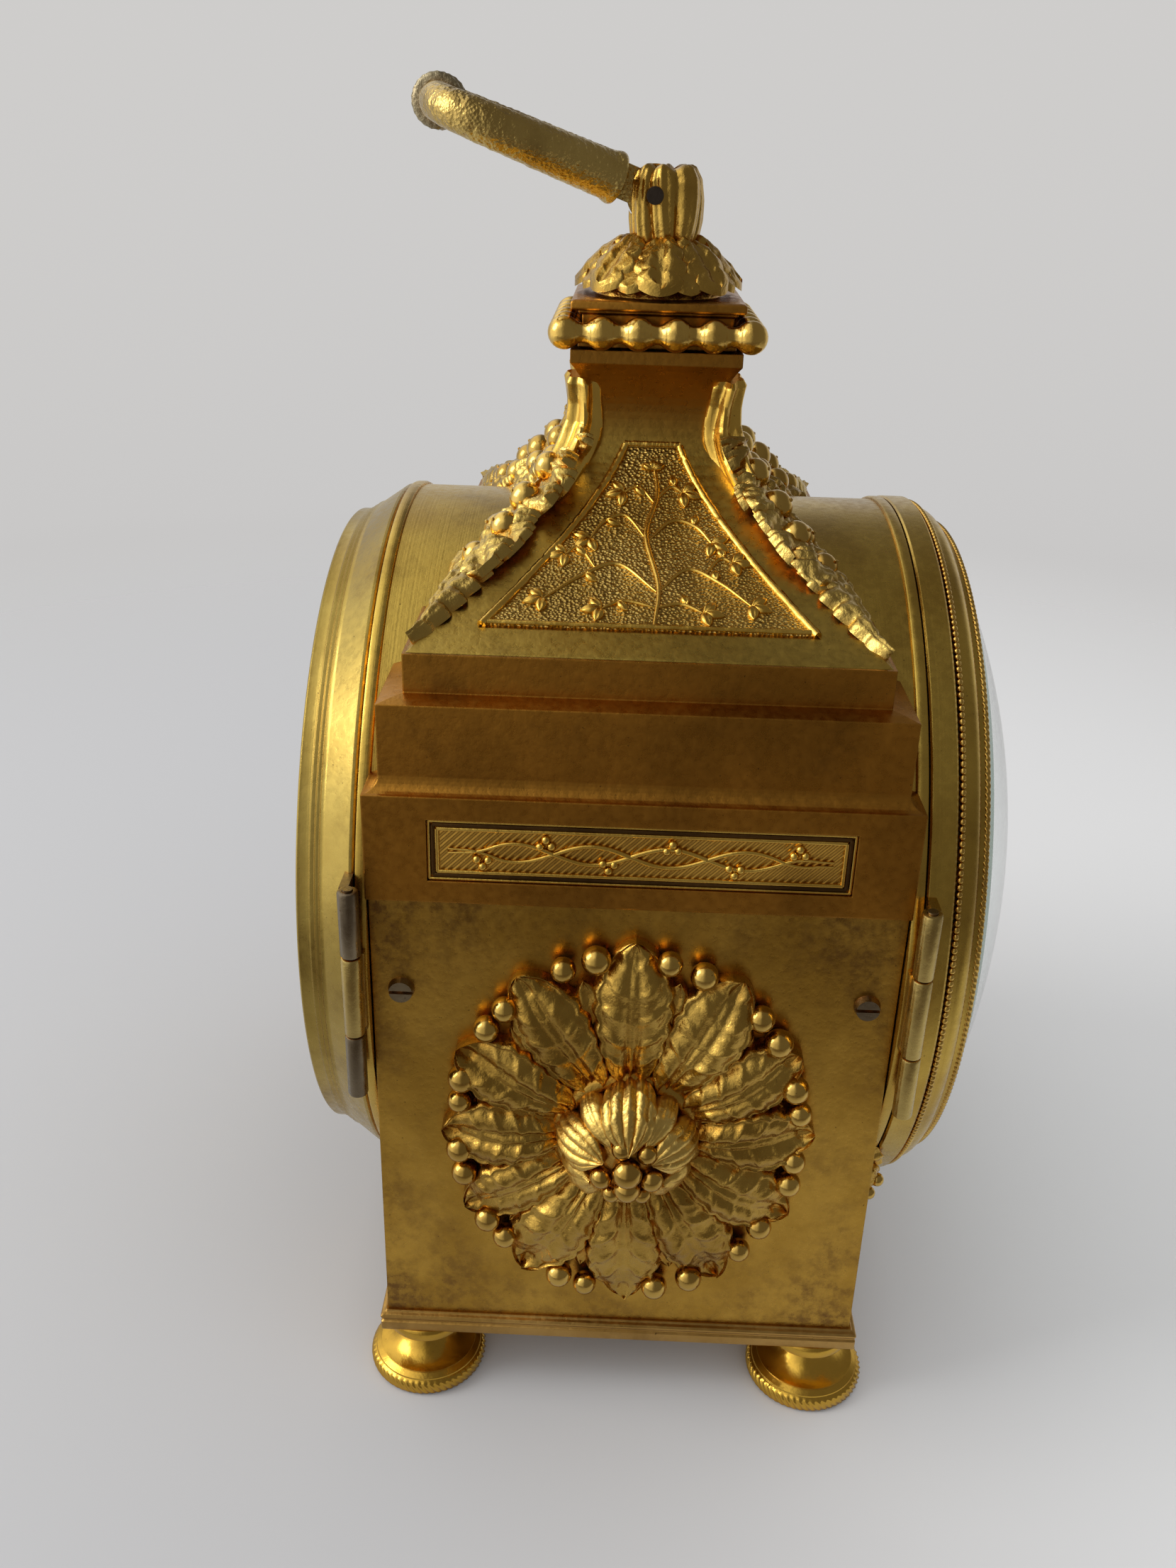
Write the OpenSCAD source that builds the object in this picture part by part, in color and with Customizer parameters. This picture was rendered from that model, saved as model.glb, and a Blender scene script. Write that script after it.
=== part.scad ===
// Travelling officer's clock in gilt bronze: a drum with hinged front and back doors,
// held in a stepped case with a swept roof, cast mounts and a hinged carrying handle.
// Front is -Y, up is +Z, and the feet stand on Z = 0 under the middle of the case.

/* [Base and feet] */
// Height of the feet under the base plate
foot_h = 11; // [8:0.5:14]
// Radius of the milled rim of a foot
foot_r = 9.3; // [7:0.1:10]
// Thickness of the milled rim
foot_rim_h = 3; // [2:0.1:4]
// Radius of the collar at the top of a foot
foot_collar_r = 6.7; // [6:0.1:7.4]
// Distance from the edge of the base plate to the axis of a foot
foot_edge = 6.5; // [6:0.1:9]
// Thickness of the base plate
base_h = 3.6; // [3:0.1:5]
// How far the base plate stands out past the body
base_out = 1.1; // [0.6:0.1:2]
// Radius of the threaded studs on the feet
stud_r = 1.5; // [1.2:0.1:1.8]

/* [Body] */
// Width of the body across the side panels
body_w = 108.8; // [106:0.2:110]
// Depth of the body
body_d = 72; // [70:0.5:74]
// Height of the side panels
panel_h = 73.9; // [72:0.5:76]
// Thickness of the side, front and back panels
panel_t = 1.6; // [1.2:0.1:2]
// Radius of the heads of the slotted panel screws
screw_head_r = 1.85; // [1.5:0.05:2.1]
// Distance of the panel screws from the front and back edges
screw_edge = 4; // [3.6:0.1:5]
// Width of a screwdriver slot
slot_w = 0.5; // [0.3:0.05:0.7]

/* [Entablature] */
// Height of the frieze band
frieze_h = 15.4; // [13:0.2:17]
// How far the frieze stands out past the body
frieze_out = 0.35; // [0.2:0.05:0.6]
// Height of the hollow moulding over the frieze
cove_h = 2; // [1.5:0.1:2.5]
// How far the lower step is set back from the frieze
step_in = 2; // [1.5:0.1:2.4]
// Height of the lower step
step_h = 9.8; // [8:0.2:11]
// Height of the small hollow over the lower step
small_cove_h = 0.6; // [0.4:0.1:1]
// How far the upper step is set back from the frieze
upper_in = 5.1; // [4.5:0.1:6]
// Height of the upper step
upper_h = 5.2; // [4:0.2:6]
// Length of the sunk panel in the frieze
frieze_panel_w = 56; // [50:1:60]
// Height of the sunk panel in the frieze
frieze_panel_h = 9; // [7:0.2:10]
// Depth of the sunk panels
sink = 0.6; // [0.3:0.1:0.9]

/* [Roof] */
// Height from the upper step to the neck of the roof
neck_rise = 22.7; // [20:0.1:25]
// Half width of the square neck
neck_half = 9.2; // [8.5:0.1:10]
// Power of the roof's concave sweep
sweep_power = 1.8; // [1.4:0.05:2.2]
// Height of the flare over the neck
flare_h = 8.1; // [7:0.1:9]
// Half width of the cap over the flare
cap_half = 12.2; // [11.4:0.1:12.8]
// Thickness of the cap
cap_h = 1.8; // [1.4:0.1:2.2]
// Height of the roof panel above the upper step
roof_panel_low = 1.8; // [1.5:0.1:3]
// Height of the roof panel
roof_panel_h = 17.2; // [14:0.1:18]
// Distance of the roof panel from the sloping edges
roof_panel_margin = 5.7; // [5:0.1:6.5]
// Radius of the rod that ties the handle mount to the roof
tie_r = 2; // [1.6:0.1:2.2]

/* [Bead frame and top plate] */
// Radius of a bead
bead_r = 2.3; // [2:0.05:2.4]
// Distance between beads
bead_pitch = 5.23; // [5:0.05:5.4]
// Radius of the waists between the beads
waist_r = 1.3; // [1:0.05:1.6]
// Half width of the top plate
plate_half = 12.3; // [11.8:0.1:12.8]
// Thickness of the top plate
plate_h = 1.5; // [1.2:0.1:2]
// Half width of the block inside the bead frame
block_half = 11.2; // [11:0.1:11.4]

/* [Handle mount] */
// Height of the leaf collar under the knuckle
leaf_h = 6.8; // [6:0.1:8]
// Radius of the leaf collar at the leaf tips
leaf_r = 12.3; // [11.6:0.1:12.6]
// Number of leaves round the collar
leaf_count = 8; // [6:1:12]
// Height of the knuckle
knuckle_h = 10.8; // [9.5:0.1:12]
// Depth of the knuckle from front to back
knuckle_d = 10.5; // [10:0.1:11]
// Width of the knuckle
knuckle_w = 12; // [11:0.1:13]
// Distance of the pin below the top of the knuckle
pin_drop = 4.3; // [4.1:0.1:4.6]
// Distance of the pin behind the middle of the knuckle
pin_back = 1.6; // [1.4:0.1:1.9]
// Distance of the knuckle's middle in front of the case middle
knuckle_front = 0.5; // [0:0.1:1]
// Radius of the handle pin
pin_r = 1.2; // [1:0.05:1.3]
// Thickness of the handle tongue
tongue_t = 4; // [3.6:0.1:4.4]

/* [Handle] */
// Angle of the resting handle above the horizontal, towards the back
handle_lean = 20; // [18:1:24]
// Distance from the pin to the middle of the handle's far bar
handle_reach = 32.4; // [30:0.2:35]
// Spread of the handle's elbows, which its middle line comes near
handle_half = 14; // [12:0.5:16]
// Half distance between the arms at the hub
hub_half = 5.4; // [5.2:0.1:5.8]
// Distance from the pin to the flat ends of the arms
hub_reach = 5.6; // [5.4:0.1:6]
// Radius of an arm at the hub
arm_hub_r = 3.3; // [3:0.05:3.4]
// Radius of the handle at its far bar
arm_bar_r = 2.45; // [2.2:0.05:2.8]
// Radius of the collar in the middle of the far bar
collar_r = 3.7; // [3.3:0.1:4]
// Width of that collar
collar_w = 6; // [5:0.2:7]

/* [Drum] */
// Outer radius of the drum barrel
drum_r = 55.8; // [55.4:0.1:56]
// Wall of the drum barrel
drum_t = 3.8; // [3.6:0.1:4]
// Height of the drum's axis above the feet
drum_z = 74.4; // [74:0.1:75]
// How far a flange stands out past the barrel
flange_out = 0.5; // [0.3:0.05:0.8]
// Thickness of a flange
flange_t = 1.7; // [1.4:0.1:2]
// Distance of a flange from the front or back face of the body
flange_gap = 0.2; // [0.1:0.05:0.3]
// Width of a flange ring
flange_w = 5; // [4:0.2:6]
// Gap between a closed door and its flange
door_gap = 0.15; // [0.1:0.05:0.2]

/* [Front door] */
// Width of the plain band of the front bezel
band_w = 3.7; // [3.2:0.1:4]
// Depth of the seat for the pearl beading
pearl_seat = 1; // [0.8:0.1:1.2]
// Width of the pearl beading
pearl_w = 1.2; // [1:0.1:1.4]
// Depth of the front bezel from its back face to its milled lip
bezel_h = 8.8; // [8.4:0.1:9.2]
// Radius of the glass of the front door
glass_r = 51.7; // [51.2:0.1:52]
// Least width of the bezel round its glass
bezel_w = 4.7; // [4.4:0.1:5]
// Thickness of the glass at its rim
glass_rim = 0.8; // [0.6:0.1:1]
// Width of the bevel round the glass
bevel_w = 3.4; // [3:0.1:4]
// Depth of the bevel
bevel_h = 2.3; // [2:0.1:2.6]
// Height of the glass dome in front of its bevel
dome_h = 12; // [10:0.2:13]
// Thickness of the glass dome
glass_t = 2.2; // [1.8:0.1:2.6]

/* [Back door] */
// Depth of the back door frame
door_h = 8.8; // [8.4:0.1:9.2]
// Radius of the outer lip of the back door
door_lip_r = 51.6; // [51:0.1:52]
// Least width of the steps between that lip and the door's edge
door_steps = 4.2; // [4:0.1:4.6]
// Width of the chamfered band of the back door
chamfer_w = 4.8; // [4.4:0.1:5.2]
// Radius of the glass of the back door
back_glass_r = 47.2; // [46.6:0.1:47.6]
// Thickness of the flat glass of the back door
back_glass_t = 2; // [1.6:0.1:2.2]
// Width of the bevel round that glass
back_bevel_w = 4; // [3:0.2:5]

/* [Door hinges] */
// Radius of a hinge knuckle
hinge_r = 1.4; // [1.3:0.05:1.5]
// Radius of a hinge pin
hinge_pin_r = 0.7; // [0.5:0.05:0.8]
// Length of a whole hinge
hinge_len = 32.5; // [30:0.5:34]
// Length of the middle knuckle
hinge_mid = 12.4; // [11:0.2:14]
// Gap between a hinge knuckle and the drum
hinge_off = 0.2; // [0.15:0.05:0.3]

/* [Rosettes and front mount] */
// Half width of a side rosette at its leaf tips
rosette_half = 27; // [24:0.2:28]
// Half height of a side rosette at its leaf tips
rosette_tall = 32; // [28:0.2:33]
// Number of leaves in a rosette
rosette_leaves = 12; // [10:2:14]
// Height of the leaves above the side panel
rosette_rise = 3.4; // [2.6:0.1:4]
// Radius of the berries between the leaves
berry_r = 2.05; // [1.8:0.05:2.2]
// Place of the berries as a share of the rosette's half width
berry_ring = 0.86; // [0.84:0.01:0.9]
// Radius of the bud in the middle
bud_r = 9.8; // [9:0.1:10.4]
// Height of the bud above the side panel
bud_h = 13; // [11:0.1:14]
// Height of the rosette's middle above the base plate
rosette_up = 38; // [36:0.2:39]
// Thickness of the leafy mount under the dial
mount_t = 4.2; // [3:0.1:5]
// Width of the leafy mount's band
mount_w = 6; // [5:0.1:7]

/* [Garlands] */
// Radius of a garland at its thickest
garland_r = 4.6; // [4:0.1:5]
// Number of fruit and leaf clusters along a garland
garland_lumps = 5; // [4:1:6]

/* [Dial and hands] */
// Radius of the enamel dial
dial_r = 45; // [42:0.5:46]
// Thickness of the dial
dial_t = 1.6; // [1.2:0.1:2]
// Distance of the dial's face from the middle of the case
dial_front = 35.6; // [34.5:0.1:36]
// Radius of the winding holes
key_hole_r = 3; // [2.6:0.1:3.4]
// Length of the minute hand from its axis
minute_len = 33; // [28:0.5:36]
// Length of the hour hand from its axis
hour_len = 22; // [18:0.5:25]
// Thickness of the hands
hand_t = 0.5; // [0.4:0.05:0.6]

/* [Movement] */
// Radius of the movement plates
plate_r = 40; // [39.5:0.1:40.5]
// Thickness of the movement plates
plate_t = 1.8; // [1.6:0.1:2]
// Distance of the front plate's front face in front of the case middle
plate_front = 20; // [19.8:0.1:20.2]
// Clear space between the movement plates
plate_space = 26.2; // [26:0.1:26.4]
// Radius of the pillars between the plates
pillar_r = 2.4; // [2:0.1:2.6]
// Distance of the pillars from the middle of the movement
pillar_ring_r = 36; // [35.8:0.1:36.4]
// Radius of the pivots that turn in the plates
pivot_r = 0.6; // [0.5:0.05:0.65]
// Radius of the arbors
arbor_r = 0.8; // [0.7:0.05:0.85]
// Radial clearance of every turning shaft
run = 0.05; // [0.03:0.01:0.08]
// Thickness of the train wheels
wheel_t = 1; // [0.8:0.1:1.1]
// Length of the pinions
pinion_h = 3; // [2.6:0.1:3.2]
// Radius of the spring barrels
barrel_r = 14.2; // [13.6:0.1:14.3]
// Length of the spring barrels
barrel_h = 12; // [11:0.1:12.2]
// Wall of the spring barrels
barrel_t = 0.8; // [0.6:0.1:1]
// Radius of the winding arbors
wind_r = 2.2; // [2:0.1:2.4]
// Thickness of the mainsprings
spring_t = 0.35; // [0.3:0.05:0.4]
// Number of turns of a mainspring
spring_turns = 8; // [6:1:9]

/* [Gears] */
// Module of the barrel teeth
barrel_m = 0.4; // [0.396:0.002:0.402]
// Module of the centre wheel teeth
centre_m = 0.35; // [0.346:0.001:0.352]
// Module of the finer wheels
fine_m = 0.3; // [0.298:0.001:0.302]
// Module of the cannon pinion and minute wheel
motion_m = 0.5; // [0.49:0.005:0.51]
// Share of the pitch left free between meshing teeth
backlash = 0.12; // [0.08:0.01:0.16]

/* [Escapement] */
// Radius of the balance wheel
balance_r = 8; // [7:0.2:8.4]
// Teeth of the escape wheel
escape_teeth = 15; // [15:1:15]
// Radius of the escape wheel
escape_r = 4.4; // [4:0.1:4.6]

/* [Hidden] */
$fn = 64;
// Small overlap that lets cuts run past a face
cut = 1;
z_panel = foot_h + base_h;
z_frieze = z_panel + panel_h;
z_step = z_frieze + frieze_h + cove_h;
z_upper = z_step + step_h + small_cove_h;
z_roof = z_upper + upper_h;
z_neck = z_roof + neck_rise;
z_flare = z_neck + flare_h;
z_cap = z_flare + cap_h;
// Height of the bead frame, with half a millimetre free over the beads
bead_frame_h = 2 * bead_r + 0.6;
z_plate = z_cap + bead_frame_h;
z_leaf = z_plate + plate_h;
z_knuckle = z_leaf + leaf_h;
z_top = z_knuckle + knuckle_h;
z_pin = z_top - pin_drop;
y_pin = pin_back - knuckle_front;
body_x = body_w / 2;
body_y = body_d / 2;
frieze_x = body_x + frieze_out;
frieze_y = body_y + frieze_out;
// The flare over the neck, a hollow arc that ends at the cap
flare_w = cap_half - neck_half;
flare_r = (flare_w * flare_w + flare_h * flare_h) / (2 * flare_w);
flare_turn = asin(flare_h / flare_r);
// How far the roof is set back from the upper step
roof_in = 0.4;
roof_x = frieze_x - upper_in - roof_in;
roof_y = frieze_y - upper_in - roof_in;
// Free space between the drum and the parts it passes through
bore_fit = 0.05;
bore_r = drum_r + bore_fit;
flange_r = drum_r + flange_out;
flange_y = body_y + flange_gap;
door_y = flange_y + flange_t + door_gap;
// The doors follow the drum, but are never narrower than what they hold
bezel_r = max(flange_r + 0.1, glass_r + bezel_w);
back_door_r = max(drum_r, door_lip_r + door_steps);
hinge_x = bezel_r + hinge_off + hinge_r;
hinge_y = flange_y + flange_t + door_gap / 2;
hinge_z = drum_z + 1;
rosette_z = z_panel + rosette_up;
foot_x = body_x + base_out - foot_edge;
foot_y = body_y + base_out - foot_edge;
// The plates of the movement, from the front
plate_front_y = -plate_front;
plate_inner_y = plate_front_y + plate_t;
plate_back_y = plate_inner_y + plate_space;
plate_outer_y = plate_back_y + plate_t;
// Numbers of teeth of the going train and the motion work
barrel_teeth = 80;
wheel_teeth = 72;
fourth_teeth = 60;
pinion_leaves = 10;
cannon_teeth = 12;
minute_teeth = 36;
hour_teeth = 40;
ratchet_teeth = 24;
pressure = 25;
barrel_angle = -20;
third_angle = 60;
fourth_angle = 125.6;
escape_angle = 150;
barrel_at = from([0, 0], (barrel_teeth + pinion_leaves) / 2 * barrel_m, barrel_angle);
third_at = from([0, 0], (wheel_teeth + pinion_leaves) / 2 * centre_m, third_angle);
fourth_at = from(third_at, (wheel_teeth + pinion_leaves) / 2 * fine_m, fourth_angle);
escape_at = from(fourth_at, (fourth_teeth + pinion_leaves) / 2 * fine_m, escape_angle);
// The minute wheel turns below the centre, and its pinion drives the hour wheel
minute_gap = (cannon_teeth + minute_teeth) / 2 * motion_m;
hour_m = 2 * minute_gap / (pinion_leaves + hour_teeth);
// Places of the wheels along the depth of the movement
great_y = 5;
drum_front_y = great_y - barrel_h;
centre_y = -10.3;
third_y = -15.5;
fourth_y = 5.4;
escape_y = plate_outer_y + 2.2;
// The platform that carries the escapement, on the back of the back plate
platform_t = 1.2;
// Place of the balance, seen from the escape wheel
balance_shift = [12.6, -3.7];
balance_at = escape_at + balance_shift;
lever_at = (escape_at + balance_at) / 2;
bridge_y = escape_y + 2;
balance_y = bridge_y + 2.2;
cock_y = balance_y + 2.4;
// The motion work in front of the front plate
cannon_y = plate_front_y - 4;
hour_y = cannon_y - 2.4;
dial_y = -dial_front;
hour_hand_y = dial_y - 1.9;
minute_hand_y = hour_hand_y - 2.3;
cannon_r = 1.5;
pipe_r = 2.2;
centre_r = 0.95;
// Radius of the shanks of the panel screws
screw_shank = 0.9;
// The recess for the tie rod's nut under the roof
nut_seat_r = 4.5;
nut_seat_h = 3.6;
// Radius of the spigot under the knuckle
spigot_r = 3.4;
// How far the handle turns up from its rest
handle_swing = 80;
// Radius of the round end of the tongue
tongue_r = 4;
// Half height of the tongue behind its round end
tongue_half = 2.4;
// Width of the slot, with a gap on each side of the tongue
tongue_slot = tongue_t + 0.2;
// Seat of the bud in the middle of a rosette, over the panel
rosette_seat = 2.2;
ratchet_r = 6;
// Free length at each end of an arbor
plate_gap = 0.15;
arbor_y0 = plate_inner_y + plate_gap;
arbor_y1 = plate_back_y - plate_gap;
// Places of the pillars and of the dial's feet, clear of the wheels
pillar_spots = [for (a = [45:90:315]) from([0, 0], pillar_ring_r, a)];
dial_feet = [for (a = [95:120:335]) from([0, 0], 31, a)];
click_angle = -60;
click_at = from(barrel_at, ratchet_r + 4, click_angle);
stud_at = [0, -minute_gap];
stud_of_wheel_r = 0.8;
// The feet of the escapement's bridge and of the balance cock
bridge_foot = escape_at + [-6.2, 2.9];
cock_foot = balance_at + [balance_r + 2.6, 0];
// Free space between the knuckles of a hinge
hinge_gap = 0.15;
// Distances of the glasses' seats from the closing line of a door
front_seat = bezel_h - 1.6;
back_seat = door_h - 2.4;
hinge_low = hinge_z - hinge_len / 2;
hinge_high = hinge_z + hinge_len / 2;

// A point at a distance and an angle from another point
function from(p, d, a) = p + d * [cos(a), sin(a)];
// Points of an arc from angle a to angle b
function arc(centre, r, a, b, steps) = [for (i = [0:steps]) from(centre, r, a + (b - a) * i / steps)];
// The other half of an outline that is the same on both sides of the upright axis
function both_sides(half) = concat(half, [for (i = [len(half) - 1:-1:0]) [-half[i][0], half[i][1]]]);

// Turns a shape drawn flat so that its length runs to the front
module to_front(y, z = 0) {
  translate([0, y, z]) rotate([90, 0, 0]) children();
}

// Turns a shape drawn flat so that its length runs to the back
module to_back(y, z = 0) {
  translate([0, y, z]) rotate([-90, 0, 0]) children();
}

// A wheel, shaft or plate of the movement, at p on the drum's face, from y0 back to y1
module along_depth(p, y0, y1) {
  translate([p[0], y1, drum_z + p[1]]) rotate([90, 0, 0]) linear_extrude(y1 - y0) children();
}

// A moulding run round a rectangle, with mitred corners. The profile holds pairs of inset and height
module moulded(half_x, half_y, profile) {
  intersection() {
    rotate([90, 0, 0]) linear_extrude(2 * half_y + 4 * cut, center = true)
      polygon(both_sides([for (p = profile) [half_x - p[0], p[1]]]));
    rotate([90, 0, 90]) linear_extrude(2 * half_x + 4 * cut, center = true)
      polygon(both_sides([for (p = profile) [half_y - p[0], p[1]]]));
  }
}

// The space that the drum takes in the case
module drum_bore() {
  to_front(body_y + cut, drum_z) cylinder(r = bore_r, h = body_d + 2 * cut, $fn = 128);
}

module base_plate() {
  slope = 0.5;
  color("goldenrod") difference() {
    moulded(body_x + base_out, body_y + base_out, [[0.3, foot_h], [0, foot_h + 0.4], [0, z_panel - slope],
      [base_out / 2, z_panel - 0.1], [base_out / 2, z_panel]]);
    for (x = [-foot_x, foot_x])
      for (y = [-foot_y, foot_y])
        translate([x, y, foot_h - cut]) cylinder(r = stud_r, h = base_h);
  }
}

// A foot with a milled rim, a hollow dome, a collar and a threaded stud
module foot(x, y) {
  teeth = 60;
  dome = arc([foot_collar_r + 1.4, foot_rim_h + 5.6], 5, 265, 195, 8);
  color("gold") translate([x, y, 0]) {
    rotate_extrude() polygon(concat(
      [[0, 0], [foot_r - 1.1, 0], [foot_r - 0.5, 0.5], [foot_r - 0.5, foot_rim_h - 0.6]],
      [[foot_r - 1.1, foot_rim_h], [foot_r - 1.5, foot_rim_h + 0.2]], dome,
      [[foot_collar_r, foot_h - 1.8], [foot_collar_r, foot_h - 0.6]],
      [[foot_collar_r - 0.5, foot_h], [0, foot_h]]));
    translate([0, 0, 0.6]) linear_extrude(foot_rim_h - 1.3)
      polygon([for (i = [0:2 * teeth - 1]) from([0, 0], foot_r - (i % 2) * 0.3, i * 180 / teeth)]);
    translate([0, 0, foot_h - cut]) cylinder(r = stud_r, h = base_h - cut);
  }
}

module foot_front_left() {
  foot(-foot_x, -foot_y);
}

module foot_front_right() {
  foot(foot_x, -foot_y);
}

module foot_back_left() {
  foot(-foot_x, foot_y);
}

module foot_back_right() {
  foot(foot_x, foot_y);
}

// A side panel, with the holes for its screws
module side_panel(side) {
  color("goldenrod") difference() {
    translate([side > 0 ? body_x - panel_t : -body_x, -body_y, z_panel])
      cube([panel_t, body_d, panel_h]);
    for (y = [-body_y + screw_edge, body_y - screw_edge])
      translate([side * body_x, y, drum_z]) rotate([0, 90, 0])
        cylinder(r = screw_shank, h = 4 * panel_t, center = true);
  }
}

module side_panel_left() {
  side_panel(-1);
}

module side_panel_right() {
  side_panel(1);
}

// Four slotted screws, two in each side panel
module panel_screws() {
  head_t = 1.1;
  shank = body_x - drum_r + drum_t - 0.3;
  color("dimgray") for (side = [-1, 1])
    for (y = [-body_y + screw_edge, body_y - screw_edge])
      translate([side * body_x, y, drum_z]) rotate([0, side * 90, 0]) {
        translate([0, 0, -shank]) cylinder(r = screw_shank, h = shank + 0.1);
        difference() {
          cylinder(r1 = screw_head_r, r2 = screw_head_r - 0.25, h = head_t);
          translate([-slot_w / 2, -screw_head_r - cut, head_t - 0.5])
            cube([slot_w, 2 * screw_head_r + 2 * cut, 0.5 + cut]);
        }
      }
}

// A front or back panel: what the drum leaves of it is a strip with two spandrels
module end_panel(side) {
  inner_x = body_x - panel_t - bore_fit;
  color("goldenrod") difference() {
    translate([-inner_x, side > 0 ? body_y - panel_t : -body_y, z_panel])
      cube([2 * inner_x, panel_t, drum_z - z_panel]);
    drum_bore();
  }
}

module front_panel() {
  end_panel(-1);
}

module back_panel() {
  end_panel(1);
}

// One side of the frieze and the steps over it, with its sunk panel
module entablature(side) {
  color("goldenrod") difference() {
    moulded(frieze_x, frieze_y, concat(
      [[0, z_frieze], [0, z_step - cove_h]],
      [for (i = [1:5]) [cove_h * sin(i * 15), z_step - cove_h * cos(i * 15)]],
      [[step_in, z_step], [step_in, z_upper - small_cove_h],
       [(step_in + upper_in) / 2, z_upper - 0.4 * small_cove_h], [upper_in, z_upper], [upper_in, z_roof]]));
    drum_bore();
    translate([side > 0 ? -2 * frieze_x : 0, -2 * body_y, z_frieze - cut])
      cube([2 * frieze_x, 4 * body_y, z_top - z_frieze]);
    translate([side * frieze_x - sink, -frieze_panel_w / 2, z_frieze + (frieze_h - frieze_panel_h) / 2])
      cube([2 * sink, frieze_panel_w, frieze_panel_h]);
  }
}

module entablature_left() {
  entablature(-1);
}

module entablature_right() {
  entablature(1);
}

// Half width of the swept roof at a share t of the way down from the neck
function sweep(base, t) = neck_half + (base - neck_half) * pow(t, sweep_power);
// Points down the roof's slope, inset by d
function slope(base, d, steps = 20) =
  [for (i = [0:steps]) [sweep(base, 1 - i / steps) - d, z_roof + neck_rise * i / steps]];
// Points of the flare's hollow arc
function flare() = arc([neck_half + flare_r, z_neck], flare_r, 180, 180 - flare_turn, 8);

module roof_outline(base, d) {
  polygon(both_sides(concat(slope(base, d), [for (p = flare()) [p[0] - d, p[1]]], [[cap_half - d, z_cap]])));
}

// The swept roof with its neck, flare and cap, and a sunk panel on each side slope
module roof() {
  low = roof_panel_low / neck_rise;
  high = (roof_panel_low + roof_panel_h) / neck_rise;
  steps = 10;
  panel = [for (i = [0:steps]) let (t = low + (high - low) * i / steps)
    [sweep(roof_y, 1 - t) - roof_panel_margin, z_roof + neck_rise * t]];
  color("goldenrod") difference() {
    intersection() {
      rotate([90, 0, 0]) linear_extrude(2 * roof_y + 4 * cut, center = true) roof_outline(roof_x, 0);
      rotate([90, 0, 90]) linear_extrude(2 * roof_x + 4 * cut, center = true) roof_outline(roof_y, 0);
    }
    difference() {
      rotate([90, 0, 90]) linear_extrude(2 * roof_x + 4 * cut, center = true) polygon(both_sides(panel));
      rotate([90, 0, 0]) linear_extrude(4 * roof_y, center = true) roof_outline(roof_x, sink);
    }
    drum_bore();
    translate([0, 0, drum_z]) cylinder(r = tie_r, h = z_top - drum_z);
    translate([0, 0, drum_z]) cylinder(r = nut_seat_r, h = drum_r + nut_seat_h);
  }
}

// A square frame of beads joined by thin waists, round a plain block
module bead_frame() {
  reach = 2.5 * bead_pitch;
  z_bead = z_cap + bead_r + 0.1;
  color("gold") difference() {
    union() {
      translate([-block_half, -block_half, z_cap]) cube([2 * block_half, 2 * block_half, bead_frame_h]);
      for (turn = [0:90:270])
        rotate([0, 0, turn]) translate([0, reach, z_bead]) {
          for (i = [0:4]) translate([i * bead_pitch - reach, 0, 0]) sphere(r = bead_r, $fn = 24);
          rotate([0, 90, 0]) cylinder(r = waist_r, h = 2 * reach, center = true, $fn = 24);
        }
    }
    translate([0, 0, z_cap - cut]) cylinder(r = tie_r, h = bead_frame_h + 2 * cut);
  }
}

module top_plate() {
  color("goldenrod") difference() {
    moulded(plate_half, plate_half,
      [[0.3, z_plate], [0, z_plate + 0.3], [0, z_leaf - 0.3], [0.3, z_leaf]]);
    translate([0, 0, z_plate - cut]) cylinder(r = tie_r, h = plate_h + 2 * cut);
  }
}

// A skirt of pointed leaves that falls away from the knuckle
module leaf_collar() {
  points = 10;
  skirt = arc([leaf_r + 2, z_leaf + leaf_h + 3], leaf_r - 4.4, 254, 186, 8);
  color("goldenrod") difference() {
    intersection() {
      rotate_extrude() polygon(concat([[0, z_leaf], [leaf_r, z_leaf], [leaf_r, z_leaf + 1]],
        [for (p = skirt) [p[0], min(p[1], z_knuckle)]], [[5.6, z_knuckle], [0, z_knuckle]]));
      translate([0, 0, z_leaf]) linear_extrude(leaf_h) polygon([for (i = [0:leaf_count * points - 1])
        from([0, 0], leaf_r - 3.4 * pow(abs(sin(180 * i / points)), 1.5), i * 360 / (leaf_count * points))]);
    }
    translate([0, 0, z_leaf - cut]) cylinder(r = spigot_r, h = leaf_h + 2 * cut);
  }
}

// The sector that the tongue sweeps between the resting and the raised handle
module tongue_space() {
  rest_gap = 0.05;
  translate([0, y_pin, z_pin]) {
    rotate([0, 90, 0]) cylinder(r = tongue_r + 0.2, h = tongue_slot, center = true);
    rotate([handle_lean, 0, 0]) translate([-tongue_slot / 2, 0, -tongue_half - rest_gap])
      cube([tongue_slot, 20, 20]);
    rotate([handle_lean + handle_swing + 4, 0, 0]) translate([-tongue_slot / 2, 0, -12])
      cube([tongue_slot, 20, 12 + tongue_half]);
  }
}

// The fluted knuckle that carries the handle, with a slot for the tongue
module knuckle_shape() {
  half_d = knuckle_d / 2;
  flutes = 5;
  pitch = knuckle_d / flutes;
  translate([-knuckle_w / 2, -knuckle_front, z_knuckle]) difference() {
    translate([0, -half_d, 0]) cube([knuckle_w, knuckle_d, knuckle_h]);
    for (x = [0, knuckle_w])
      for (i = [1:flutes - 1])
        translate([x, i * pitch - half_d, 1.2]) cylinder(r = 0.35, h = knuckle_h, $fn = 16);
  }
}

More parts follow.
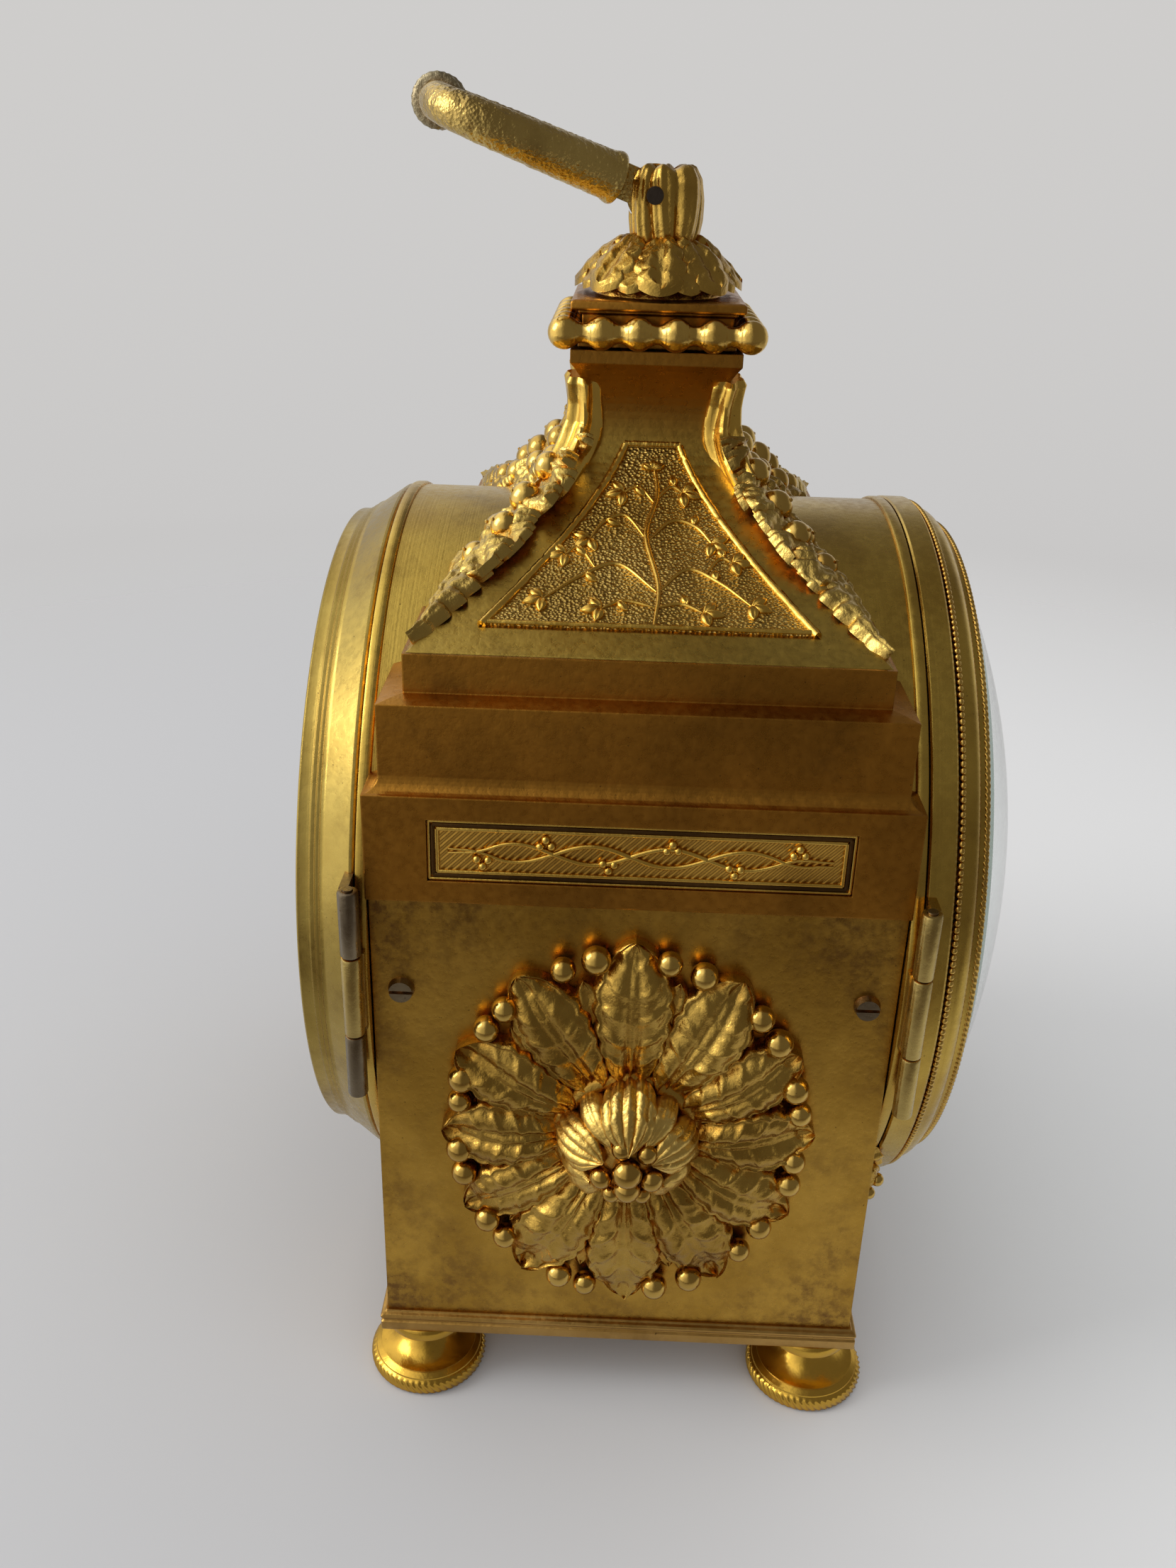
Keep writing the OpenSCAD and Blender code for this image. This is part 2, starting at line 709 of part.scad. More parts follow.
module handle_knuckle() {
  rod_top = 2.2;
  color("goldenrod") difference() {
    union() {
      knuckle_shape();
      translate([0, 0, z_leaf]) cylinder(r = spigot_r, h = leaf_h + cut);
    }
    tongue_space();
    difference() {
      translate([-knuckle_w, y_pin, z_pin]) cube([2 * knuckle_w, knuckle_d, knuckle_h]);
      translate([0, y_pin, z_pin]) rotate([0, 90, 0])
        cylinder(r = hub_reach - 0.25, h = 3 * knuckle_w, center = true);
    }
    translate([0, y_pin, z_pin]) rotate([0, 90, 0]) cylinder(r = pin_r, h = 2 * knuckle_w, center = true);
    translate([0, 0, z_leaf - cut]) cylinder(r = tie_r, h = leaf_h + cut + 1.2);
  }
}

// The threaded rod that pulls the handle mount down, with its nut under the roof
module tie_rod() {
  low = drum_z + drum_r + 0.5;
  nut_h = 2.6;
  color("silver") {
    translate([0, 0, low]) cylinder(r = tie_r, h = z_knuckle + 1 - low);
    difference() {
      translate([0, 0, low + 0.4]) cylinder(r = 3.8, h = nut_h, $fn = 6);
      translate([0, 0, low]) cylinder(r = tie_r - 0.5, h = 2 * nut_h);
    }
  }
}

module handle_pin() {
  out = 0.3;
  color("dimgray") translate([-knuckle_w / 2 - out, y_pin, z_pin]) rotate([0, 90, 0])
    cylinder(r = pin_r, h = knuckle_w + 2 * out);
}

// A point of a curve with four control points
function curve(a, b, c, d, t) =
  pow(1 - t, 3) * a + 3 * pow(1 - t, 2) * t * b + 3 * (1 - t) * t * t * c + pow(t, 3) * d;
// Half of the handle's middle line, from the hub to the middle of the far bar, as side and reach
function bail_half(t) = curve([hub_half, hub_reach], [hub_half + 3.6, hub_reach + 9.6],
  [1.75 * handle_half, handle_reach], [0, handle_reach], t);
function bail_point(u) = u <= 1 ? bail_half(u) : let (p = bail_half(2 - u)) [-p[0], p[1]];
function bail_radius(u) = arm_bar_r + (arm_hub_r - arm_bar_r) * pow(abs(1 - u), 1.3);

// Places its children in the resting handle's frame: side on X, reach on Y, from the pin
module in_handle() {
  translate([0, y_pin, z_pin]) rotate([handle_lean, 0, 0]) children();
}

// The bail of the handle, a tapering bar swept along its middle line
module handle_bail() {
  sides = 16;
  rings = 48;
  step = 0.02;
  points = [for (i = [0:rings]) let (u = 2 * i / rings, r = bail_radius(u), p = bail_point(u),
      ahead = i == 0 ? [0.35, 1] : i == rings ? [0.35, -1] : bail_point(u + step) - bail_point(u - step),
      normal = [-ahead[1], ahead[0]] / norm(ahead))
    for (k = [0:sides - 1]) let (a = (k + 0.5) * 360 / sides)
      [p[0] + normal[0] * r * cos(a), p[1] + normal[1] * r * cos(a), r * sin(a)]];
  walls = [for (i = [0:rings - 1]) for (k = [0:sides - 1]) let (n = (k + 1) % sides)
    for (f = [[i * sides + k, i * sides + n, (i + 1) * sides + n],
              [i * sides + k, (i + 1) * sides + n, (i + 1) * sides + k]]) f];
  ends = [[for (k = [sides - 1:-1:0]) k], [for (k = [0:sides - 1]) rings * sides + k]];
  color("gold") in_handle() polyhedron(points, concat(walls, ends), convexity = 6);
}

// The turned collar on the middle of the handle's far bar
module handle_collar() {
  edge = 0.6;
  color("khaki") in_handle() translate([0, handle_reach, 0]) rotate([0, 90, 0])
    translate([0, 0, -collar_w / 2]) rotate_extrude() polygon([
      [arm_bar_r, 0], [collar_r - edge, 0], [collar_r, edge], [collar_r, collar_w - edge],
      [collar_r - edge, collar_w], [arm_bar_r, collar_w]]);
}

// The tongue that turns on the pin, with a cross bar into both arms
module handle_hub() {
  bar_reach = hub_reach + 2.5;
  bar_r = 1.6;
  color("gold") in_handle() difference() {
    union() {
      rotate([0, 90, 0]) cylinder(r = tongue_r, h = tongue_t, center = true);
      translate([-tongue_t / 2, 0, -tongue_half]) cube([tongue_t, bar_reach + 2 * bar_r, 2 * tongue_half]);
      translate([0, bar_reach, 0]) rotate([0, 90, 0]) cylinder(r = bar_r, h = 2 * hub_half, center = true);
    }
    rotate([0, 90, 0]) cylinder(r = pin_r + run, h = 2 * tongue_t, center = true);
  }
}

// An oval rosette of pointed leaves in relief, with pairs of berries between the leaf tips
module rosette_shape() {
  around = rosette_leaves * 8;
  shares = [0.42, 0.55, 0.68, 0.8, 0.9, 1];
  heights = [rosette_seat, rosette_rise, rosette_rise, 0.9 * rosette_rise, 0.65 * rosette_rise, 0.8];
  rings = len(shares);
  function edge(a) = 1 - 0.15 * pow(abs(sin(rosette_leaves * a / 2)), 0.7);
  function groove(a, i) = i == 0 || i == rings - 1 ? 1 : 1 - 0.35 * abs(sin(rosette_leaves * a / 2));
  function place(a, share) = share * edge(a) * [rosette_half * sin(a), rosette_tall * cos(a)];
  top = [for (i = [0:rings - 1]) for (k = [0:around - 1])
    let (a = k * 360 / around, p = place(a, shares[i])) [p[0], p[1], heights[i] * groove(a, i)]];
  foot = [for (k = [0:around - 1]) let (p = place(k * 360 / around, 1)) [p[0], p[1], 0]];
  points = concat(top, foot, [[0, 0, rosette_seat]]);
  last = rings * around;
  walls = [for (i = [0:rings - 1]) for (k = [0:around - 1]) let (n = (k + 1) % around)
    for (f = [[i * around + k, (i + 1) * around + k, (i + 1) * around + n],
              [i * around + k, (i + 1) * around + n, i * around + n]]) f];
  middle = [for (k = [0:around - 1]) [last + around, k, (k + 1) % around]];
  under = [[for (k = [0:around - 1]) last + around - 1 - k]];
  polyhedron(points, concat(walls, middle, under), convexity = 8);
  for (i = [0:rosette_leaves - 1])
    for (off = [-1, 1]) let (a = (i + 0.5) * 360 / rosette_leaves + off * 4.6)
      translate([rosette_half * berry_ring * sin(a), rosette_tall * berry_ring * cos(a), 0.75 * berry_r])
        hull() {
          sphere(r = berry_r, $fn = 12);
          cylinder(r = 0.3, h = 1.1 * berry_r, $fn = 6);
        }
}

module rosette(side) {
  color("gold") translate([side * body_x, 0, rosette_z]) rotate([0, side * 90, 0]) rotate([0, 0, 90])
    difference() {
      rosette_shape();
      translate([0, 0, -2 * rosette_tall]) cube(4 * rosette_tall, center = true);
    }
}

module rosette_left() {
  rosette(-1);
}

module rosette_right() {
  rosette(1);
}

// The pointed bud of folded petals in the middle of a rosette
module bud(side) {
  belly = arc([0, 0], 1, 0, 80, 10);
  rise = bud_h - rosette_seat;
  color("gold") translate([side * (body_x + rosette_seat), 0, rosette_z]) rotate([0, side * 90, 0])
    rotate_extrude() polygon(concat([[0, 0], [bud_r - 0.6, 0]],
      [for (p = belly) [bud_r * p[0], 1 + (rise - 1) * p[1]]], [[0, rise]]));
}

module bud_left() {
  bud(-1);
}

module bud_right() {
  bud(1);
}

// A point on the roof's mitred edge, at a share of the way down from the neck, raised off the roof
function on_mitre(t, lift) =
  [sweep(roof_x, t) + lift, sweep(roof_y, t) + lift, z_neck - neck_rise * t + lift];

// One arm of a garland: swelling lumps of leaves and fruit along the roof's mitred edge
module garland_arm() {
  low = 0.88;
  function lump(t) = garland_r * (0.62 + 0.38 * sin(180 * t));
  function spot(t) = on_mitre(low * t, 0.25 * lump(t));
  for (i = [0:garland_lumps - 1]) let (t = i / garland_lumps, n = (i + 1) / garland_lumps)
    hull() {
      translate(spot(t + 0.15 / garland_lumps)) sphere(r = lump(t), $fn = 14);
      translate(spot(n - 0.15 / garland_lumps)) sphere(r = lump(n), $fn = 14);
    }
}

module garland(side) {
  color("orange") mirror([0, side > 0 ? 0 : 1, 0]) difference() {
    for (flip = [0, 1])
      mirror([flip, 0, 0]) garland_arm();
    translate([0, 0, z_roof - 50]) cube([400, 400, 100], center = true);
  }
}

module garland_front() {
  garland(-1);
}

module garland_back() {
  garland(1);
}

// Two sprays of toothed leaves in the corners under the drum
module front_mount() {
  teeth = 7;
  in_r = bezel_r + 0.5;
  low_angle = 18;
  high_angle = 61;
  tilt = 4.8;
  span = high_angle - low_angle;
  inner = arc([0, 0], in_r, low_angle, high_angle, 16);
  outer = [for (i = [2 * teeth:-1:0]) let (u = i / (2 * teeth), a = low_angle + span * u)
    from([0, 0], in_r + 0.8 + mount_w * pow(sin(180 * u), 0.8) * (i % 2 == 0 ? 0.72 : 1), a)];
  color("goldenrod") difference() {
    for (flip = [0, 1])
      mirror([flip, 0, 0]) to_front(-body_y, drum_z) linear_extrude(mount_t)
        rotate([0, 0, -90]) polygon(concat(inner, outer));
    translate([0, -body_y - mount_t, drum_z - flange_r / 2]) rotate([-tilt, 0, 0])
      translate([-body_x, -mount_t, -body_x]) cube([2 * body_x, mount_t, 2 * body_x]);
  }
}

// The drum, flattened inside the side panels, with a ledge for the movement
module drum_barrel() {
  ledge = 3;
  inner_r = drum_r - drum_t;
  length = 2 * flange_y;
  color("goldenrod") difference() {
    intersection() {
      to_front(flange_y, drum_z) difference() {
        cylinder(r = drum_r, h = length, $fn = 128);
        translate([0, 0, -cut]) cylinder(r = inner_r - ledge, h = length + 2 * cut, $fn = 128);
      }
      translate([0, 0, drum_z])
        cube([2 * (body_x - panel_t - bore_fit), 2 * length, 3 * drum_r], center = true);
    }
    to_front(plate_inner_y, drum_z) cylinder(r = inner_r, h = length, $fn = 128);
    to_back(plate_inner_y + 2, drum_z) cylinder(r = inner_r, h = length, $fn = 128);
    for (y = [-body_y + screw_edge, body_y - screw_edge])
      translate([0, y, drum_z]) rotate([0, 90, 0]) cylinder(r = screw_shank, h = 4 * drum_r, center = true);
  }
}

// A flange ring on one end of the drum
module flange_ring() {
  rotate_extrude($fn = 128) polygon([
    [flange_r - flange_w, 0], [flange_r - 0.2, 0], [flange_r, 0.2], [flange_r, flange_t - 0.2],
    [flange_r - 0.2, flange_t], [flange_r - flange_w, flange_t]]);
}

module front_flange() {
  color("goldenrod") to_front(-flange_y, drum_z) flange_ring();
}

module back_flange() {
  color("goldenrod") to_back(flange_y, drum_z) flange_ring();
}

// The frame of the front door: plain band, pearl seat, round moulding, lip and sloping sight ring
module front_bezel() {
  seat_r = bezel_r - pearl_seat;
  seat_top = band_w + 0.1 + pearl_w;
  lip_r = glass_r + 1.2;
  round = arc([lip_r - 0.2, seat_top + 0.2], seat_r - lip_r - 0.2, 0, 84, 6);
  sight_in = dial_r;
  foot_in = bezel_r - 4.2;
  sight_out = glass_r - 2.1;
  color("gold") to_front(-door_y, drum_z) {
    rotate_extrude($fn = 128) polygon(concat(
      [[foot_in, 0], [bezel_r, 0], [bezel_r, band_w], [seat_r, band_w + 0.1], [seat_r, seat_top]],
      round,
      [[lip_r, bezel_h - 0.6], [lip_r, bezel_h], [glass_r + 0.3, bezel_h], [glass_r, bezel_h - 0.4]],
      [[glass_r, front_seat], [sight_out, front_seat], [sight_out, front_seat - 1.2]],
      [[sight_out + 1.6, front_seat - 1.6]]));
    rotate_extrude($fn = 128) translate([seat_r, band_w + 0.1 + pearl_w / 2])
      circle(r = pearl_w / 2, $fn = 24);
    rotate_extrude($fn = 128) polygon([[sight_in, 0.4], [sight_out, front_seat - 1],
      [sight_out, front_seat - 0.2], [sight_in, 1.2]]);
  }
}

// The domed glass of the front door, with a bevelled rim
module front_glass() {
  dome_r = glass_r - bevel_w;
  rim_top = front_seat + glass_rim;
  apex = rim_top + bevel_h + dome_h;
  ball = (dome_r * dome_r + dome_h * dome_h) / (2 * dome_h);
  half = asin(dome_r / ball);
  inner_r = ball - glass_t;
  inner_half = asin((dome_r - 1) / inner_r);
  color("lightcyan", 0.35) to_front(-door_y, drum_z) rotate_extrude($fn = 128) polygon(concat(
    [[dome_r - 1, front_seat], [glass_r, front_seat], [glass_r, rim_top]],
    arc([0, apex - ball], ball, 90 - half, 90, 16),
    arc([0, apex - ball], inner_r, 90, 90 - inner_half, 16)));
}

// The frame of the back door: a wide chamfered band, then fine stepped lines
module back_door() {
  seat = back_glass_r - 1.4;
  r = back_door_r;
  color("darkkhaki") to_back(door_y, drum_z) rotate_extrude($fn = 128) polygon([
    [seat, 0], [r, 0], [r, 0.7], [r - 2.8, chamfer_w], [r - 2.9, chamfer_w + 0.5],
    [r - 3.4, chamfer_w + 0.6], [r - 3.4, chamfer_w + 1.2], [r - 3.9, chamfer_w + 1.3],
    [r - 3.9, door_h - 1.9], [door_lip_r, door_h - 1.5], [door_lip_r, door_h], [door_lip_r - 1.1, door_h],
    [back_glass_r + 0.3, back_seat + 1.4], [back_glass_r, back_seat], [seat, back_seat]]);
}

// The flat glass of the back door, with a wide bevel
module back_glass() {
  rim_t = 0.6 * back_glass_t;
  color("lightcyan", 0.35) to_back(door_y, drum_z) rotate_extrude($fn = 128) polygon([
    [0, back_seat], [back_glass_r, back_seat], [back_glass_r, back_seat + rim_t],
    [back_glass_r - back_bevel_w, back_seat + back_glass_t], [0, back_seat + back_glass_t]]);
}

// Knuckles and leaf plates of a hinge: from height z0 to z1, on a round part of radius r, y0 to y1 deep
module hinge_part(y_axis, z0, z1, r, y0, y1, bore) {
  plate_w = hinge_x - r + 6.3;
  difference() {
    union() {
      translate([-hinge_x, y_axis, z0]) cylinder(r = hinge_r, h = z1 - z0);
      difference() {
        translate([-hinge_x, y0, z0]) cube([plate_w, y1 - y0, z1 - z0]);
        to_front(y1 + cut, drum_z) cylinder(r = r, h = y1 - y0 + 2 * cut, $fn = 128);
      }
    }
    translate([-hinge_x, y_axis, z0 - cut]) cylinder(r = bore, h = z1 - z0 + 2 * cut);
  }
}

// The upper and lower knuckles on a door, on one side of its closing line
module door_hinge(side, r) {
  y_axis = side * hinge_y;
  near = door_y;
  far = door_y + 3;
  y0 = side > 0 ? near : -far;
  y1 = side > 0 ? far : -near;
  hinge_part(y_axis, hinge_low, hinge_z - hinge_mid / 2 - hinge_gap, r, y0, y1, hinge_pin_r + run);
  hinge_part(y_axis, hinge_z + hinge_mid / 2 + hinge_gap, hinge_high, r, y0, y1, hinge_pin_r + run);
}

module front_hinge_leaf() {
  color("rosybrown") door_hinge(-1, bezel_r);
}

module back_hinge_leaf() {
  color("rosybrown") door_hinge(1, back_door_r);
}

// The middle knuckles, fixed to the flanges
module case_hinge_leaves() {
  for (side = [-1, 1])
    let (y0 = side > 0 ? flange_y + 0.1 : -flange_y - flange_t)
      color("rosybrown") hinge_part(side * hinge_y, hinge_z - hinge_mid / 2, hinge_z + hinge_mid / 2,
        flange_r, y0, y0 + flange_t - 0.1, hinge_pin_r);
}

module hinge_pins() {
  for (side = [-1, 1])
    color("saddlebrown") translate([-hinge_x, side * hinge_y, hinge_low - 0.3])
      cylinder(r = hinge_pin_r, h = hinge_len + 0.6);
}

// Spread of an involute at an angle, in degrees
function spread(a) = tan(a) * 180 / PI - a;

// The outline of a gear, with its first tooth on the angle given
module gear(m, teeth, turn = 0) {
  r_pitch = m * teeth / 2;
  r_base = r_pitch * cos(pressure);
  r_tip = r_pitch + 0.8 * m;
  r_foot = r_pitch - 1.05 * m;
  half = 90 / teeth * (1 - backlash);
  function lean(r) = half + spread(pressure) - spread(acos(min(1, r_base / r)));
  radii = [r_foot, (r_foot + r_tip) / 2, r_tip];
  function flank(r) = lean(max(r, r_base));
  rotate(turn) polygon([for (i = [0:teeth - 1]) for (k = [0:5])
    let (r = radii[k < 3 ? k : 5 - k], a = flank(r) * (k < 3 ? -1 : 1))
      from([0, 0], r, i * 360 / teeth + a)]);
}

// Openings between the five arms of a wheel
module crossings(r_rim, r_hub) {
  arms = 5;
  half = 180 / arms;
  arm_w = 1;
  for (i = [0:arms - 1])
    rotate(i * 360 / arms) polygon(concat(
      arc([0, 0], r_rim, -half + asin(arm_w / r_rim), half - asin(arm_w / r_rim), 8),
      arc([0, 0], r_hub, half - asin(arm_w / r_hub), -half + asin(arm_w / r_hub), 4)));
}

// An arbor between the plates, with a pivot at each end
module arbor(p, y0, y1, pivot) {
  along_depth(p, y0, y1) circle(r = arbor_r);
  along_depth(p, y0 - pivot, y1 + pivot) circle(r = pivot_r);
}

// A thin wheel with arms, whose tooth points at an angle
module train_wheel(p, m, teeth, y, turn) {
  along_depth(p, y, y + wheel_t) difference() {
    gear(m, teeth, turn);
    crossings(m * teeth / 2 - 1.8, 3);
  }
}

// A pinion with a gap towards the wheel that drives it, seen at the angle from that wheel
module train_pinion(p, m, y, angle, length = pinion_h) {
  along_depth(p, y, y + length) gear(m, pinion_leaves, angle + 180 + 180 / pinion_leaves);
}

module centre_wheel() {
  color("gold") union() {
    along_depth([0, 0], arbor_y0, arbor_y1) circle(r = 1.25);
    along_depth([0, 0], arbor_y0 - plate_t, arbor_y1 + plate_t) circle(r = centre_r);
    along_depth([0, 0], minute_hand_y - 1, arbor_y0) circle(r = centre_r);
    train_wheel([0, 0], centre_m, wheel_teeth, centre_y, third_angle);
    train_pinion([0, 0], barrel_m, great_y - 0.5, barrel_angle + 180);
  }
}

module third_wheel() {
  color("gold") union() {
    arbor(third_at, arbor_y0, arbor_y1, plate_t);
    train_wheel(third_at, fine_m, wheel_teeth, third_y, fourth_angle);
    train_pinion(third_at, centre_m, centre_y - 1, third_angle);
  }
}

module fourth_wheel() {
  color("gold") union() {
    arbor(fourth_at, arbor_y0, arbor_y1, plate_t);
    train_wheel(fourth_at, fine_m, fourth_teeth, fourth_y, escape_angle);
    train_pinion(fourth_at, fine_m, third_y - 1, fourth_angle);
  }
}

// The escape wheel on the platform, driven by its pinion between the plates
module escape_wheel() {
  color("gold") union() {
    arbor(escape_at, arbor_y0, bridge_y - plate_gap, 1.4);
    train_pinion(escape_at, fine_m, fourth_y - 0.5, escape_angle, 2);
    along_depth(escape_at, escape_y, escape_y + 0.6) polygon([for (i = [0:2 * escape_teeth - 1])
      from([0, 0], i % 2 == 0 ? escape_r : escape_r - 1.1, i * 180 / escape_teeth - (i % 2) * 8)]);
  }
}

// The lever between the escape wheel and the balance, with its two pallets
module lever() {
  to_escape = atan2(escape_at[1] - lever_at[1], escape_at[0] - lever_at[0]);
  reach = norm(escape_at - lever_at) - escape_r - 0.3;
  tail = norm(balance_at - lever_at) - 1.6;
  color("silver") union() {
    arbor(lever_at, plate_outer_y + platform_t + 0.1, bridge_y - plate_gap, 0.9);
    along_depth(lever_at, escape_y, escape_y + 0.6) rotate(to_escape) {
      polygon([[-tail, -0.4], [0.6, -0.8], [0.6, 0.8], [-tail, 0.4]]);
      polygon(concat(arc([0, 0], 1.2, -90, 90, 6), [[-0.6, 1.2], [-0.6, -1.2]]));
      for (hand = [-1, 1])
        polygon([[reach - 0.5, hand * 0.4], [reach, hand * 1.4],
          [reach - 0.2, hand * 2.6], [-0.2, hand * 0.9]]);
    }
  }
}

// The balance with its two arms and its roller
module balance_wheel() {
  rim_w = 1.1;
  color("gold") union() {
    arbor(balance_at, plate_outer_y + platform_t + 0.1, cock_y - plate_gap, 0.9);
    along_depth(balance_at, balance_y, balance_y + 1.2) {
      difference() {
        circle(r = balance_r);
        circle(r = balance_r - rim_w);
      }
      square([2 * balance_r - rim_w, 0.9], center = true);
    }
    along_depth(balance_at, escape_y - 0.2, escape_y + 0.8) circle(r = 1.3);
  }
}

// The platform of the escapement, its bridge and the balance cock
module platform() {
  left = bridge_foot[0] - 3.6;
  right = balance_at[0] + balance_r + 5;
  low = balance_at[1] - 6;
  high = bridge_foot[1] + 3;
  bridge_t = 1.2;
  post_r = 1.8;
  color("khaki") difference() {
    union() {
      along_depth([0, 0], plate_outer_y, plate_outer_y + platform_t)
        polygon([[left, low], [right, low], [right, high], [left, high]]);
      along_depth([0, 0], bridge_y, bridge_y + bridge_t) bar(bridge_foot, lever_at, 3);
      along_depth(bridge_foot, plate_outer_y + platform_t, bridge_y) circle(r = post_r);
      along_depth([0, 0], cock_y, cock_y + bridge_t) bar(cock_foot, balance_at, 4);
      along_depth(cock_foot, plate_outer_y + platform_t, cock_y) circle(r = post_r);
    }
    along_depth(escape_at, plate_back_y - cut, plate_outer_y + platform_t + cut) circle(r = 2);
    for (p = [escape_at, lever_at])
      along_depth(p, bridge_y - cut, bridge_y + bridge_t + cut) circle(r = pivot_r + run);
    along_depth(lever_at, plate_outer_y - cut, plate_outer_y + platform_t + cut) circle(r = pivot_r + run);
    along_depth(balance_at, plate_outer_y - cut, plate_outer_y + platform_t + cut) circle(r = pivot_r + run);
    along_depth(balance_at, cock_y - cut, cock_y + bridge_t + cut) circle(r = pivot_r + run);
  }
}

// A flat bar with round ends between two points
module bar(a, b, half_w) {
  turn = atan2(b[1] - a[1], b[0] - a[0]);
  translate(a) rotate(turn) polygon(concat(
    arc([0, 0], half_w, 90, 270, 12), arc([norm(b - a), 0], half_w, -90, 90, 12)));
}

// The spring barrel with its toothed rim; the spring and the winding arbor are inside
module going_barrel() {
  lid_r = wind_r + run;
  color("gold") difference() {
    union() {
      along_depth(barrel_at, drum_front_y, great_y) circle(r = barrel_r);
      along_depth(barrel_at, great_y, great_y + 1.2) gear(barrel_m, barrel_teeth, barrel_angle + 180);
    }
    along_depth(barrel_at, drum_front_y + barrel_t, great_y - 0.2) circle(r = barrel_r - barrel_t);
    along_depth(barrel_at, drum_front_y - cut, great_y + 1.2 + cut) circle(r = lid_r);
  }
}

// The arbor that winds the spring: a square end at the dial, a ratchet, and a pivot in each plate
module winding_arbor() {
  square_w = 1.5 * wind_r;
  color("silver") union() {
    along_depth(barrel_at, plate_front_y - 1.6, arbor_y1) circle(r = wind_r);
    along_depth(barrel_at, arbor_y1 - 0.1, plate_outer_y) circle(r = wind_r - 0.7);
    along_depth(barrel_at, dial_y + 0.4, plate_front_y - 1.5) square(square_w, center = true);
    along_depth(barrel_at, plate_front_y - 1.5, plate_front_y - 0.3)
      polygon([for (i = [0:2 * ratchet_teeth - 1])
        from([0, 0], i % 2 == 0 ? ratchet_r : ratchet_r - 0.8, i * 180 / ratchet_teeth - (i % 2) * 5)]);
  }
}

// The click, a pawl whose tip lies just outside the ratchet's teeth
module click() {
  tip = from(barrel_at, ratchet_r + 0.15, click_angle + 24);
  heel = tip + from([0, 0], 1.3, click_angle + 24);
  towards = atan2(tip[1] - click_at[1], tip[0] - click_at[0]);
  color("silver") union() {
    along_depth(click_at, plate_front_y - 2, plate_inner_y - 0.4) circle(r = 0.9);
    along_depth([0, 0], plate_front_y - 1.5, plate_front_y - 0.3)
      polygon(concat([tip, heel], arc(click_at, 1.6, towards - 70, towards - 290, 10)));
  }
}

// A coiled strip in the barrel
module mainspring() {
  steps = 20 * spring_turns;
  inner = wind_r + 0.3;
  outer = barrel_r - barrel_t - 0.3;
  function r(i) = inner + (outer - spring_t - inner) * i / steps;
  color("slategray") along_depth(barrel_at, drum_front_y + barrel_t + 0.3, great_y - 0.5)
    polygon(concat([for (i = [0:steps]) from([0, 0], r(i), i * 18)],
      [for (i = [steps:-1:0]) from([0, 0], r(i) + spring_t, i * 18)]));
}

module pillars() {
  color("gold") for (p = pillar_spots) {
    along_depth(p, plate_inner_y, plate_back_y) circle(r = pillar_r);
    along_depth(p, plate_inner_y - 1, plate_back_y + 1) circle(r = pillar_r - 1);
  }
}

// Holes for the pivots of a movement plate
module plate_holes(y0, y1) {
  for (p = [third_at, fourth_at])
    along_depth(p, y0, y1) circle(r = pivot_r + run);
  along_depth([0, 0], y0, y1) circle(r = centre_r + run);
}

module movement_front_plate() {
  y0 = plate_front_y - cut;
  y1 = plate_inner_y + cut;
  color("khaki") along_depth(stud_at, hour_y - 1, plate_inner_y - 0.4) circle(r = stud_of_wheel_r);
  color("khaki") difference() {
    along_depth([0, 0], plate_front_y, plate_inner_y) circle(r = drum_r - drum_t - 0.1, $fn = 128);
    plate_holes(y0, y1);
    along_depth(escape_at, y0, y1) circle(r = pivot_r + run);
    along_depth(barrel_at, y0, y1) circle(r = wind_r + run);
    for (p = pillar_spots)
      along_depth(p, plate_inner_y - 1, y1) circle(r = pillar_r - 1);
    for (p = dial_feet)
      along_depth(p, y0, plate_inner_y - 0.6) circle(r = 1.2);
    along_depth(click_at, y0, plate_inner_y - 0.4) circle(r = 0.9);
  }
}

module movement_back_plate() {
  y0 = plate_back_y - cut;
  y1 = plate_outer_y + cut;
  color("khaki") difference() {
    along_depth([0, 0], plate_back_y, plate_outer_y) circle(r = plate_r, $fn = 128);
    plate_holes(y0, y1);
    along_depth(escape_at, y0, y1) circle(r = 2);
    along_depth(barrel_at, y0, y1) circle(r = wind_r - 0.7 + run);
    for (p = pillar_spots)
      along_depth(p, y0, plate_back_y + 1) circle(r = pillar_r - 1);
  }
}

module cannon_pinion() {
  color("silver") difference() {
    union() {
      along_depth([0, 0], cannon_y, cannon_y + 2) gear(motion_m, cannon_teeth, 270);
      along_depth([0, 0], minute_hand_y - 0.3, plate_front_y - 0.3) circle(r = cannon_r);
    }
    along_depth([0, 0], minute_hand_y - cut, plate_front_y + cut) circle(r = centre_r + run);
  }
}

module minute_wheel() {
  color("gold") difference() {
    union() {
      along_depth(stud_at, cannon_y + 0.2, cannon_y + 1.8)
        gear(motion_m, minute_teeth, 90 + 180 / minute_teeth);
      along_depth(stud_at, hour_y - 0.5, cannon_y + 0.3) gear(hour_m, pinion_leaves, 90);
    }
    along_depth(stud_at, hour_y - cut, cannon_y + 2 + cut) circle(r = stud_of_wheel_r + run);
  }
}

module hour_wheel() {
  color("gold") difference() {
    union() {
      along_depth([0, 0], hour_y, hour_y + 1.2) gear(hour_m, hour_teeth, 270 + 180 / hour_teeth);
      along_depth([0, 0], hour_hand_y - 0.3, hour_y + 0.1) circle(r = pipe_r);
    }
    along_depth([0, 0], hour_hand_y - cut, hour_y + 1.2 + cut) circle(r = cannon_r + run);
  }
}

